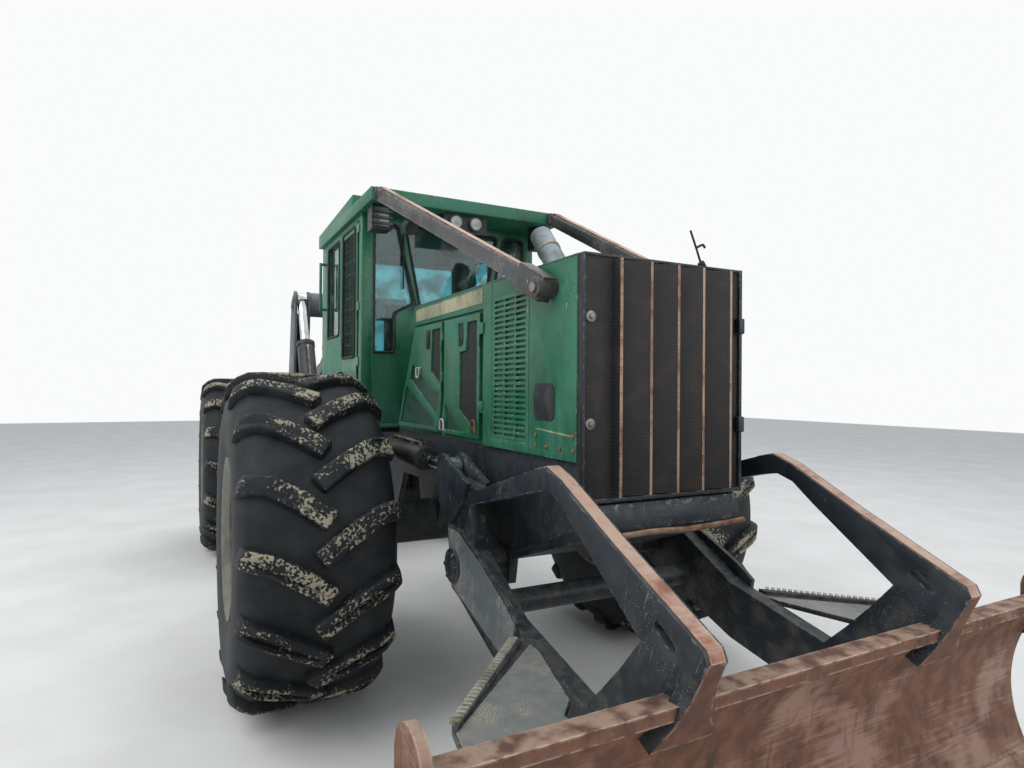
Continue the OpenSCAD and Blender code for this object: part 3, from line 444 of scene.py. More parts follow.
@dataclass(frozen=True)
class PerforatedScreen(Finish):
    """Punched screen over a radiator: rows of slots painted near black as the shade behind them, brown with chaff and
    dried sap.
    """

    web: str
    worn: str
    hole: str
    pitch_mm: Point2
    across: str = "Y"

    def paint(self, g: Graph) -> bpy.types.Node:
        """Draws slots across and along Z, each painted near black as painted shade; they are coarser than the real 6
        mm ones, to show in the render.

        Args:
            g: Graph of the material.

        Returns:
            The shader.
        """
        rows = []
        for letter, pitch, low, high in zip((self.across, "Z"), self.pitch_mm, (0.36, 0.46), (0.26, 0.38)):
            within = g.math("FRACT", g.axis(letter) * (1000 / pitch))
            rows.append(g.math("ABSOLUTE", within - 0.5).step(low, high))
        hole = rows[0] * rows[1]
        clogged = g.noise(130, 6).step(0.54, 0.72) * 0.6
        colour = g.mix(g.noise(90, 6).step(0.46, 0.7), self.web, self.worn)
        # The slots get the near-black colour, painted shade of the space behind the screen, except where chaff clogs
        # them
        colour = g.mix(hole * (1.0 - clogged), colour, self.hole)
        return g.surface(colour, 0.68, g.bump(1.0 - hole, 1.5), Metallic=0.0)


@dataclass(frozen=True)
class GroundRod(Finish):
    """Hard chrome on a ground rod: bright, with a film of oil and fine lines round it."""

    chrome: str = "#c9ccd0"
    oil: str = "#7c776c"

    def paint(self, g: Graph) -> bpy.types.Node:
        """Dulls the chrome with oily dust.

        Args:
            g: Graph of the material.

        Returns:
            The shader.
        """
        film = g.noise(80, 5).step(0.45, 0.65)
        colour = g.mix(film * 0.4, self.chrome, self.oil)
        return g.surface(colour, film.spread(0.14, 0.42), g.bump(g.noise(3, 2), 0.05), Metallic=1.0)


@dataclass(frozen=True)
class TintedGlass(Finish):
    """Toughened cab glass: a blue-green tint, with dust in arcs and corners."""

    tint: str = "#92ced5"
    dust: str = "#8c9488"

    def paint(self, g: Graph) -> bpy.types.Node:
        """Mixes clear tinted glass with a thin film of dust.

        Args:
            g: Graph of the material.

        Returns:
            The shader.
        """
        clear = g.surface(self.tint, 0.03, Transmission_Weight=1.0, IOR=1.45)
        amount = g.noise(150, 6).step(0.46, 0.7) * 0.4 + 0.05
        return g.add("ShaderNodeMixShader", links={0: amount, 1: clear, 2: g.surface(self.dust, 0.8)})


@dataclass(frozen=True)
class MouldedPlastic(Finish):
    """Moulded ABS or rubber: fine grain, greyed by sun and dust."""

    base: str = "#1d1f21"
    greyed: str = "#4b4d4c"
    grain_mm: float = 2.5
    rough: float = 0.55

    def paint(self, g: Graph) -> bpy.types.Node:
        """Adds the mould's grain and a grey bloom.

        Args:
            g: Graph of the material.

        Returns:
            The shader.
        """
        bloom = g.noise(90, 5).step(0.45, 0.7) | g.upward() * 0.5
        relief = g.bump(g.noise(self.grain_mm, 3), 0.25)
        return g.surface(g.mix(bloom * 0.7, self.base, self.greyed), self.rough, relief, IOR=1.5)


@dataclass(frozen=True)
class WeatheredSteel(Finish):
    """Bare steel gone grey, with heat stain, rust bloom and rain marks."""

    grey: str
    stain: str
    bloom: str
    shine: float

    def paint(self, g: Graph) -> bpy.types.Node:
        """Mixes stain and rust bloom into dull steel.

        Args:
            g: Graph of the material.

        Returns:
            The shader.
        """
        fine = g.noise(40, 6)
        colour = g.mix(g.noise(140, 4).step(0.4, 0.64), self.grey, self.stain)
        colour = g.mix(fine.step(0.54, 0.68) * 0.7, colour, self.bloom)
        return g.surface(colour, 0.5, g.bump(fine, 0.6), Metallic=self.shine)


@dataclass(frozen=True)
class SeatCloth(Finish):
    """Woven seat cloth over foam: warp and weft 2 mm apart, drawn at 4 mm to show."""

    yarn: str = "#2a2d33"
    pale: str = "#4a4e55"
    dust: str = "#6b655a"
    spacing_mm: float = 4.0

    def paint(self, g: Graph) -> bpy.types.Node:
        """Weaves two sets of yarn.

        Args:
            g: Graph of the material.

        Returns:
            The shader.
        """
        waves = [g.math("SINE", g.axis(a) * (1000 / self.spacing_mm * math.pi)) for a in "XYZ"]
        weave = waves[1] * (waves[0] + waves[2])
        colour = g.mix(weave.step(-0.6, 0.8), self.yarn, self.pale)
        colour = g.mix(g.noise(110, 5).step(0.5, 0.7) * 0.4, colour, self.dust)
        return g.surface(colour, 0.9, g.bump(weave, 0.6), Sheen_Weight=0.3, Sheen_Roughness=0.5)


GREEN = Enamel(
    "sprayed_green_enamel", Slot.GREEN, "#1b6446", "#3d7c67", "#b3b795",
    "#9b9a83", chips=0.6, scratch_cover=0.7, dust_top=0.3,
)
# A darker copy of the green, laid in the engine doors' recesses as painted shade
PAINTED_SHADE_GREEN = Enamel("shaded_green_enamel", Slot.GREEN, "#0f3b2e", "#1f5141", "#5f7a6a", "#5b6456", chips=0.62)
STRIPE = Enamel(
    "cream_stripe_enamel", Slot.GREEN, "#8b8c72", "#c2bb98", "#4f5f50",
    "#a69a7c", chips=0.5, scratch_cover=0.58,
)
FRAME = Enamel(
    "chassis_black_enamel", Slot.FRAME, "#121b24", "#222c35", "#7f827f",
    "#6f6a5f", scratch_cover=0.67, chips=0.54, gloss=0.42, dull=0.78, dust_top=0.3, splash=0.35,
)
BARREL = Enamel("cylinder_black_enamel", Slot.FRAME, "#10151a", "#21272c", "#77736b", "#746c5e")
ARCH = Enamel(
    "rubbed_arch_enamel", Slot.WORN, "#3c4b55", "#66757c", "#8a6a55",
    "#857c6c", scratch_cover=0.58, chips=0.42,
)
RISER = Enamel(
    "rubbed_riser", Slot.WORN, "#25282d", "#474443", "#8a8076",
    "#7c7062", scratch_cover=0.58, chips=0.44, fade_from=0.46,
)
RIM = Enamel("rim_enamel", Slot.RIM, "#4b4f47", "#6c6d60", "#8d7a63", "#8a7f6a")
GREY_PLATE = Enamel(
    "rubbed_grey_plate", Slot.FRAME, "#5d6467", "#7f8382", "#b5ab97",
    "#8f897b", scratch_cover=0.57, chips=0.48, splash=0.25,
)
BLADE = RustedPlate("timber_worn_plate", Slot.WORN, "#937263", "#5d4034", "#76503c", "#3d302b", 0.5)
# Pale rubbed metal on the tops of struts and risers, lightened further as a painted highlight
CAP_RUB_AND_HIGHLIGHT = RustedPlate("rubbed_strut_cap", Slot.WORN, "#bb9785", "#8a5b49", "#9c6a53", "#5c4339", 0.4)
# Rust on the claw's front face, made darker as painted shade of a face turned from the light
CLAW_RUST_AND_SHADE = RustedPlate("rusted_claw_face", Slot.WORN, "#8a6a58", "#54392e", "#6b4534", "#33302f", 0.52)
LIP = RustedPlate("torn_pan_lip", Slot.WORN, "#8a7862", "#5f4530", "#7a5638", "#3d3129", 0.5)
SEAM = RustedPlate("rusted_screen_seam", Slot.WORN, "#a88c76", "#76533f", "#8a6248", "#4a3a32", 0.42)
TREAD = MuddyRubber("cured_tyre_rubber", Slot.TYRE)
# Both screens paint their slots near black as the shade behind them
GRILLE = PerforatedScreen("punched_radiator_screen", Slot.SCREEN, "#2a2727", "#40352d", "#0b0c10", (8.0, 15.0))
SIDE_SCREEN = PerforatedScreen("black_side_screen", Slot.SCREEN, "#1d2124", "#34383a", "#07080a", (8.0, 12.0), "X")
CHROME = GroundRod("ground_chrome_rod", Slot.ROD)
GLASS = TintedGlass("tinted_cab_glass", Slot.GLASS)
CLOTH = SeatCloth("woven_seat_cloth", Slot.CLOTH)
STACK = WeatheredSteel("weathered_stack_tube", Slot.STACK, "#7f8b92", "#6b7175", "#6a625c", 0.45)
BOLT = WeatheredSteel("zinc_plated_bolt", Slot.STACK, "#9a9a94", "#6d675c", "#7d5c44", 0.75)
ORANGE_BOLT = WeatheredSteel("rusted_rivet", Slot.STACK, "#8a5f3d", "#6a452e", "#a9743f", 0.1)
GRIP = WeatheredSteel("galvanised_grip_strip", Slot.STACK, "#a9a89b", "#84806f", "#7a6450", 0.35)
BLOCK = WeatheredSteel("cast_iron_block", Slot.BLOCK, "#2c2f30", "#1f2122", "#4b3a30", 0.3)
PLASTIC = MouldedPlastic("moulded_black_plastic", Slot.PLASTIC)
SEAL = MouldedPlastic("black_rubber_seal", Slot.PLASTIC, "#15171a", "#3a3d3f", rough=0.7)
MESH = MouldedPlastic("black_coated_mesh", Slot.PLASTIC, "#14171a", "#33373b", rough=0.5)
LAMP = MouldedPlastic("round_lamp_lens", Slot.PLASTIC, "#8e989a", "#b9bebb", 9.0, 0.06)
LENS = MouldedPlastic("lamp_lens", Slot.PLASTIC, "#5f686b", "#8e9594", 9.0, 0.08)
WHITE_PULL = MouldedPlastic("pale_pull", Slot.PLASTIC, "#c9cdcd", "#a7aba6", rough=0.5)

SIDES = ("right", "left")
WHEELS = ("front_right", "front_left", "rear_right", "rear_left")
DOORS = tuple(f"engine_door_{side}_{end}" for side in SIDES for end in ("front", "rear"))
NODE_FINISHES: dict[Finish, tuple[str, ...]] = {
    GREEN: (
        "hood", *DOORS, "louvre_panel_right", "louvre_panel_left", "cab_floor", "cab_front_wall",
        "cab_rear_wall", "cab_side_right", "cab_side_left", "cab_roof", "cab_door_right", "cab_door_left",
        "grab_rails",
    ),
    FRAME: (
        "front_frame", "front_hinge", "belly_guard", "front_axle", "rear_axle", "rear_frame", "rear_hinge",
        "push_frame", "grapple_link", "grapple_head", "tong_right", "tong_left",
    ),
    BARREL: (
        "blade_barrels", "steer_barrel_right", "steer_barrel_left", "arch_barrels", "boom_barrels",
        "grapple_barrels",
    ),
    CHROME: ("blade_rods", "steer_rod_right", "steer_rod_left", "arch_rods", "boom_rods", "grapple_rods"),
    BLADE: ("stacking_blade",),
    ARCH: ("arch", "boom"),
    RISER: ("limb_risers",),
    GRILLE: ("grille_door",),
    GLASS: ("cab_glass",),
    PLASTIC: ("dash_console", "work_lights"),
    STACK: ("exhaust_stack",),
    BLOCK: ("engine_block",),
    CLOTH: ("operator_seat",),
    RIM: tuple(f"rim_{wheel}" for wheel in WHEELS),
}
USUAL_EDGE = 0.004
# Width in metres of the rounding on a node's hard edges, where it isn't the usual one
EDGE_WIDTHS = {
    "louvre_panel_right": 0.001, "louvre_panel_left": 0.001, "grille_door": 0.003, "stacking_blade": 0.006,
    "cab_roof": 0.009, "hood": 0.007, "boom": 0.008, "arch": 0.006, "cab_door_right": 0.002,
    "cab_door_left": 0.002, "dash_console": 0.002,
}


# Modelling


def deselect() -> None:
    """Leaves nothing selected and no object in edit mode."""
    if bpy.context.mode != "OBJECT":
        bpy.ops.object.mode_set(mode="OBJECT")
    bpy.ops.object.select_all(action="DESELECT")


def pick(obj: Piece) -> Piece:
    """Selects one object alone, makes it active and gives it back.

    Args:
        obj: The object to work on.

    Returns:
        The same object.
    """
    deselect()
    obj.select_set(True)
    bpy.context.view_layer.objects.active = obj
    return obj


def place(obj: Piece) -> None:
    """Moves an object's place, turn and scale into its mesh."""
    obj.data.transform(obj.matrix_basis)
    obj.matrix_basis = Matrix.Identity(4)


def added(name: str) -> Piece:
    """Names the object that was just added, settles it at the origin and gives it back.

    Args:
        name: Name of the piece.

    Returns:
        The new object.
    """
    obj = bpy.context.active_object
    obj.name = name
    place(obj)
    return obj


def modify(obj: Piece, kind: str, **settings: object) -> None:
    """Adds one modifier and applies it.

    Args:
        obj: The mesh to change.
        kind: Blender's name of the modifier.
        settings: Its properties.
    """
    pick(obj)
    modifier = obj.modifiers.new(kind.lower(), kind)
    for key, value in settings.items():
        setattr(modifier, key, value)
    bpy.ops.object.modifier_apply(modifier=modifier.name)


def smooth(obj: Piece, angle: float = 40) -> Piece:
    """Shades an object smooth across its blunt edges.

    Args:
        obj: The mesh to shade.
        angle: Angle in degrees from which an edge stays sharp.

    Returns:
        The same object.
    """
    pick(obj)
    bpy.ops.object.shade_smooth_by_angle(angle=math.radians(angle))
    return obj


def soften(obj: Piece, width: float, segments: int = 2, angle: float = 35) -> Piece:
    """Rounds an object's hard edges and shades it smooth; no width leaves it as it is.

    Args:
        obj: The mesh to round.
        width: Width of the rounding in metres.
        segments: Number of faces across it.
        angle: Smallest angle in degrees of an edge that is rounded.

    Returns:
        The same object.
    """
    if not width:
        return obj
    modify(
        obj, "BEVEL", width=width, segments=segments, limit_method="ANGLE",
        angle_limit=math.radians(angle), harden_normals=False, miter_outer="MITER_ARC",
    )
    return smooth(obj)


def box(name: str, low: Point, high: Point, edge: float = 0.004, segments: int = 2) -> Piece:
    """A block between two corners with rounded edges.

    Args:
        name: Name of the piece.
        low: Lowest corner.
        high: Highest corner.
        edge: Width of the edge rounding.
        segments: Faces across the rounding.

    Returns:
        The new mesh.
    """
    deselect()
    middle = [(a + b) / 2 for a, b in zip(low, high)]
    bpy.ops.mesh.primitive_cube_add(size=1, location=middle)
    bpy.context.active_object.scale = [b - a for a, b in zip(low, high)]
    return soften(added(name), edge, segments)


def in_plane(point: Point2, plane: str, depth: float) -> Point:
    """A point given in a plane's two axes, such as "xz", at a depth on the third."""
    place_of = dict(zip(plane, point))
    return tuple(place_of.get(axis, depth) for axis in "xyz")


def ring_mesh(name: str, points: Sequence[Point], fill: str = "NGON") -> Piece:
    """A ring of points as a mesh in edit mode with all of it selected.

    Args:
        name: Name of the piece.
        points: The ring's points in order.
        fill: "NGON" for a face in the ring, "NOTHING" for none.

    Returns:
        The new mesh.
    """
    deselect()
    bpy.ops.mesh.primitive_circle_add(vertices=len(points), fill_type=fill)
    obj = bpy.context.active_object
    obj.name = name
    for vertex, point in zip(obj.data.vertices, points):
        vertex.co = point
    bpy.ops.object.mode_set(mode="EDIT")
    bpy.ops.mesh.select_all(action="SELECT")
    return obj


def plate(name: str, outline: Sequence[Point2], plane: str, near: float, far: float, edge: float = 0.0) -> Piece:
    """A flat plate: an outline drawn in a plane, pushed from one depth to another.

    Args:
        name: Name of the piece.
        outline: Corner points in the plane's two axes, in order round the plate.
        plane: The two axes, "xz", "yz" or "xy".
        near: Depth of the first face on the third axis.
        far: Depth of the second face.
        edge: Width of the edge rounding.

    Returns:
        The new mesh.
    """
    obj = ring_mesh(name, [in_plane(point, plane, near) for point in outline])
    push = in_plane((0.0, 0.0), plane, far - near)
    bpy.ops.mesh.extrude_region_move(TRANSFORM_OT_translate={"value": push})
    outward()
    return soften(obj, edge)


def outward() -> None:
    """Turns the faces of the mesh in edit mode outward and leaves edit mode."""
    bpy.ops.mesh.select_all(action="SELECT")
    bpy.ops.mesh.normals_make_consistent(inside=False)
    bpy.ops.object.mode_set(mode="OBJECT")


def bar(name: str, start: Point, end: Point, radius: float, sides: int = 24, edge: float = 0.002) -> Piece:
    """A round bar between two points with a rounded rim at each end.

    Args:
        name: Name of the piece.
        start: Middle of one end.
        end: Middle of the other end.
        radius: Radius of the bar.
        sides: Faces round it.
        edge: Width of the end rounding.

    Returns:
        The new mesh.
    """
    deselect()
    run = Vector(end) - Vector(start)
    turn = run.to_track_quat("Z", "Y").to_euler()
    middle = (Vector(start) + Vector(end)) / 2
    bpy.ops.mesh.primitive_cylinder_add(
        vertices=sides, radius=radius, depth=run.length, location=middle, rotation=turn,
    )
    return soften(added(name), edge, angle=60)


def stub(name: str, at: Point, push: float, radius: float, sides: int = 24, edge: float = 0.002) -> Piece:
    """A round bar from a point along Y by a signed length, such as a bolt's head on the machine's side."""
    return bar(name, at, (at[0], at[1] + push, at[2]), radius, sides, edge)


def tube(name: str, route: Sequence[Point], radius: float, sides: int = 12, bend: float = 0.03) -> Piece:
    """A bent round tube along a route, as one mesh with closed ends.

    Args:
        name: Name of the piece.
        route: Corner points of its centre line.
        radius: Radius of the tube.
        sides: Faces round it.
        bend: Radius of the bends at the corners.

    Returns:
        The new mesh.
    """
    line = bpy.data.curves.new(name, "CURVE")
    line.dimensions = "3D"
    line.bevel_depth = radius
    line.bevel_resolution = max(1, sides // 4 - 1)
    line.use_fill_caps = True
    points = rounded_route([Vector(p) for p in route], bend)
    spline = line.splines.new("POLY")
    spline.points.add(len(points) - 1)
    for slot, point in zip(spline.points, points):
        slot.co = (*point, 1)
    obj = bpy.data.objects.new(name, line)
    bpy.context.scene.collection.objects.link(obj)
    pick(obj)
    bpy.ops.object.convert(target="MESH")
    return smooth(bpy.context.active_object, 50)


def rounded_route(corners: Sequence[Vector], bend: float, steps: int = 5) -> list[Vector]:
    """Rounds the corners of a route.

    Args:
        corners: The route's corner points.
        bend: How far before and after a corner the bend reaches.
        steps: Points along each bend.

    Returns:
        The points of the rounded route.
    """
    points = [corners[0]]
    for before, here, after in zip(corners, corners[1:], corners[2:]):
        reach = min(bend, (before - here).length / 2, (after - here).length / 2)
        start = here + (before - here).normalized() * reach
        end = here + (after - here).normalized() * reach
        for i in range(steps + 1):
            t = i / steps
            points.append(start * (1 - t) ** 2 + here * 2 * t * (1 - t) + end * t * t)
    points.append(corners[-1])
    return points


def rounded_outline(low: Point2, high: Point2, radius: float, steps: int = 5) -> list[Point2]:
    """Outline of a rectangle with round corners.

    Args:
        low: Lowest corner.
        high: Highest corner.
        radius: Radius of the corners.
        steps: Faces round a corner.

    Returns:
        The points in order.
    """
    points = []
    corners = ((high[0], high[1], 0), (low[0], high[1], 90), (low[0], low[1], 180), (high[0], low[1], 270))
    for x, y, start in corners:
        middle_x = x - radius if x == high[0] else x + radius
        middle_y = y - radius if y == high[1] else y + radius
        for i in range(steps + 1):
            angle = math.radians(start + 90 * i / steps)
            points.append((middle_x + radius * math.cos(angle), middle_y + radius * math.sin(angle)))
    return points


def beside(line: Sequence[Point2], distance: float) -> list[Vector]:
    """A line's points moved to its left by a distance.

    Args:
        line: The points in order.
        distance: How far; a negative one is to the right.

    Returns:
        The moved points.
    """
    points = [Vector(point) for point in line]
    moved = []
    for i, point in enumerate(points):
        run = (points[min(i + 1, len(points) - 1)] - points[max(i - 1, 0)]).normalized()
        moved.append(point + Vector((-run.y, run.x)) * distance)
    return moved


def bolt_ring(middle: Point, count: int, radius: float, push: float, size: float) -> list[Piece]:
    """Six-sided heads in a ring about an axle along Y.

    Args:
        middle: Middle of the ring, at the heads' feet.
        count: Number of heads.
        radius: Radius of the ring.
        push: Height of the heads along Y, with a sign.
        size: Radius of a head.

    Returns:
        The heads.
    """
    x, y, z = middle
    turns = [math.tau * i / count for i in range(count)]
    spots = [(x + radius * math.cos(a), y, z + radius * math.sin(a)) for a in turns]
    return [stub("head", spot, push, size, 6, 0.001) for spot in spots]


def join(name: str, parts: Sequence[Piece]) -> Piece:
    """Joins several meshes to one piece.

    Args:
        name: Name of the piece.
        parts: The meshes; they become one.

    Returns:
        The joined mesh.
    """
    deselect()
    for part in parts:
        part.select_set(True)
    bpy.context.view_layer.objects.active = parts[0]
    if len(parts) > 1:
        bpy.ops.object.join()
    parts[0].name = name
    return parts[0]


def copy_to(obj: Piece, move: Matrix) -> Piece:
    """A copy of a mesh moved by a matrix, with its own mesh data.

    Args:
        obj: The mesh to copy.
        move: Where the copy goes, from the first one's place.

    Returns:
        The copy.
    """
    twin = obj.copy()
    twin.data = obj.data.copy()
    twin.data.transform(move)
    if move.determinant() < 0:
        twin.data.flip_normals()
    bpy.context.scene.collection.objects.link(twin)
    return twin


MIRROR = Matrix.Scale(-1, 4, Vector((0, 1, 0)))


def coat(obj: Piece, finish: Finish) -> Piece:
    """Puts one finish alone on an object.

    Args:
        obj: The mesh.
        finish: Its finish.

    Returns:
        The same object.
    """
    obj.data.materials.clear()
    obj.data.materials.append(finish.material())
    return obj


def ready(obj: Piece, finish: Finish, body: str, *replaced: str) -> Piece:
    """Gives a finished piece its material and the body that it rides on.

    Args:
        obj: The finished mesh.
        finish: Its finish.
        body: CAD body that it moves with.
        replaced: CAD nodes that it stands for.

    Returns:
        The same object.
    """
    coat(obj, finish)
    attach(obj, body)
    if replaced:
        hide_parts(*replaced)
    log.info("%s rides on %s, %d faces", obj.name, body, len(obj.data.polygons))
    return obj


def single(name: str, parts: Sequence[Piece], finish: Finish, body: str) -> None:
    """Joins meshes to one piece and readies it."""
    ready(join(name, parts), finish, body)


def both(name: str, parts: Sequence[Piece], finish: Finish, body: str) -> None:
    """Joins right-hand meshes with their mirror images to one piece and readies it."""
    twins = [copy_to(part, MIRROR) for part in parts]
    single(name, [*parts, *twins], finish, body)


def sided(name: str, parts: Sequence[Piece], finish: Finish, body: str) -> None:
    """Readies right-hand meshes as one piece and their mirror image as another on the left.

    Args:
        name: Name of the pieces without their side.
        parts: Meshes of the right side.
        finish: Finish of both pieces.
        body: Name of the body, with {side} where the side stands.
    """
    right = join(f"{name}_right", parts)
    left = copy_to(right, MIRROR)
    left.name = f"{name}_left"
    for piece, side in zip((right, left), SIDES):
        ready(piece, finish, body.format(side=side))


def rounded_node(node: str, finish: Finish) -> Piece:
    """A copy of a CAD node with its hard edges rounded, which stands for it.

    Args:
        node: Name of the CAD node.
        finish: Finish of the piece.

    Returns:
        The new piece.
    """
    source = frame["nodes"][node]
    piece = source.copy()
    piece.data = source.data.copy()
    piece.parent = None
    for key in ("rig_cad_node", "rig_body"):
        if key in piece:
            del piece[key]
    piece.name = f"{node}_dressed"
    bpy.context.scene.collection.objects.link(piece)
    pick(piece)
    bpy.ops.object.mode_set(mode="EDIT")
    bpy.ops.mesh.select_all(action="SELECT")
    bpy.ops.mesh.customdata_custom_splitnormals_clear()
    bpy.ops.mesh.remove_doubles(threshold=0.00005)
    bpy.ops.object.mode_set(mode="OBJECT")
    soften(piece, EDGE_WIDTHS.get(node, USUAL_EDGE), angle=30)
    groups = frame["record"]["behaviour"]["bodies"]
    body = next(body for body, members in groups.items() if node in members)
    return ready(piece, finish, body, node)


# Camera, floor and light


@dataclass
class Studio:
    """The photograph's viewpoint over a plain pale floor in soft light."""

    eye: Point = (5.732, -1.838, 1.75)
    yaw_deg: float = 27.58
    pitch_deg: float = 0.36
    roll_deg: float = 0.44
    focal_px: float = 642.144
    sensor_mm: float = 36.0
    clip_end: float = 200
    floor_size: float = 60.0
    floor_drop: float = 0.001
    floor_colours: tuple[str, str] = ("#f4f3f0", "#eceae6")
    # Place, size and power of each lamp; all look at the same point
    lamps: tuple[tuple[str, Point, float, float], ...] = (
        ("key_lamp", (3.0, -7.5, 9.0), 8.0, 560.0),
        ("top_lamp", (-1.5, 4.0, 11.0), 10.0, 380.0),
        ("front_lamp", (10.0, 3.0, 4.5), 6.0, 170.0),
    )
    aim: Point = (0.5, 0, 1.0)
    # Colour and strength of the surround, as it lights the machine and as it shows
    soft: tuple[str, float] = ("#dfe6ee", 0.62)
    pale: tuple[str, float] = ("#fafbfb", 1.0)
    shows_to: tuple[str, ...] = ("Is Camera Ray", "Is Glossy Ray", "Is Transmission Ray")

    def camera(self) -> None:
        """Makes the camera from the calibrated eye, angles and focal length."""
        a, p, r = (math.radians(v) for v in (self.yaw_deg, self.pitch_deg, self.roll_deg))
        ahead = Vector((-math.cos(a) * math.cos(p), math.sin(a) * math.cos(p), math.sin(p)))
        level = Vector((math.sin(a), math.cos(a), 0))
        up = level.cross(ahead)
        right = level * math.cos(r) + up * math.sin(r)
        top = up * math.cos(r) - level * math.sin(r)
        lens = bpy.data.cameras.new("viewpoint")
        lens.sensor_width = self.sensor_mm
        lens.lens = self.focal_px * lens.sensor_width / PHOTO_W
        lens.clip_end = self.clip_end
        eye = bpy.data.objects.new("viewpoint", lens)
        bpy.context.scene.collection.objects.link(eye)
        eye.matrix_world = Matrix.Translation(self.eye) @ Matrix((right, top, -ahead)).transposed().to_4x4()
        bpy.context.scene.camera = eye

    def floor(self) -> None:
        """Lays the pale floor."""
        deselect()
        bpy.ops.mesh.primitive_plane_add(size=self.floor_size, location=(0, 0, -self.floor_drop))
        obj = added("studio_floor")
        g = Graph("matt_studio_floor")
        colour = g.mix(g.noise(700, 3).step(0.3, 0.7), *self.floor_colours)
        obj.data.materials.append(g.finish(g.surface(colour, 0.9)))

    def light(self) -> None:
        """Hangs the soft lamps."""
        for name, spot, size, power in self.lamps:
            data = bpy.data.lights.new(name, "AREA")
            data.size = size
            data.energy = power
            lamp = bpy.data.objects.new(name, data)
            lamp.location = spot
            lamp.rotation_euler = (Vector(self.aim) - Vector(spot)).to_track_quat("-Z", "Y").to_euler()
            bpy.context.scene.collection.objects.link(lamp)

    def surround(self) -> None:
        """Makes the even surround, soft as light and pale where it is seen or mirrored."""
        world = bpy.data.worlds.new("pale_surround")
        bpy.context.scene.world = world
        world.use_nodes = True
        tree = world.node_tree
        tree.nodes.clear()
        path = tree.nodes.new("ShaderNodeLightPath")
        seen = path.outputs[self.shows_to[0]]
        for kind in self.shows_to[1:]:
            either = tree.nodes.new("ShaderNodeMath")
            either.operation = "MAXIMUM"
            tree.links.new(seen, either.inputs[0])
            tree.links.new(path.outputs[kind], either.inputs[1])
            seen = either.outputs["Value"]
        mixed = tree.nodes.new("ShaderNodeMixShader")
        tree.links.new(seen, mixed.inputs[0])
        for place_in, (colour, strength) in enumerate((self.soft, self.pale), 1):
            glow = tree.nodes.new("ShaderNodeBackground")
            glow.inputs["Color"].default_value = linear(colour)
            glow.inputs["Strength"].default_value = strength
            tree.links.new(glow.outputs[0], mixed.inputs[place_in])
        out = tree.nodes.new("ShaderNodeOutputWorld")
        tree.links.new(mixed.outputs[0], out.inputs["Surface"])

    def build(self) -> None:
        """Sets up the whole studio."""
        bpy.context.scene.view_settings.view_transform = "Standard"
        self.camera()
        self.floor()
        self.light()
        self.surround()


# Tyres


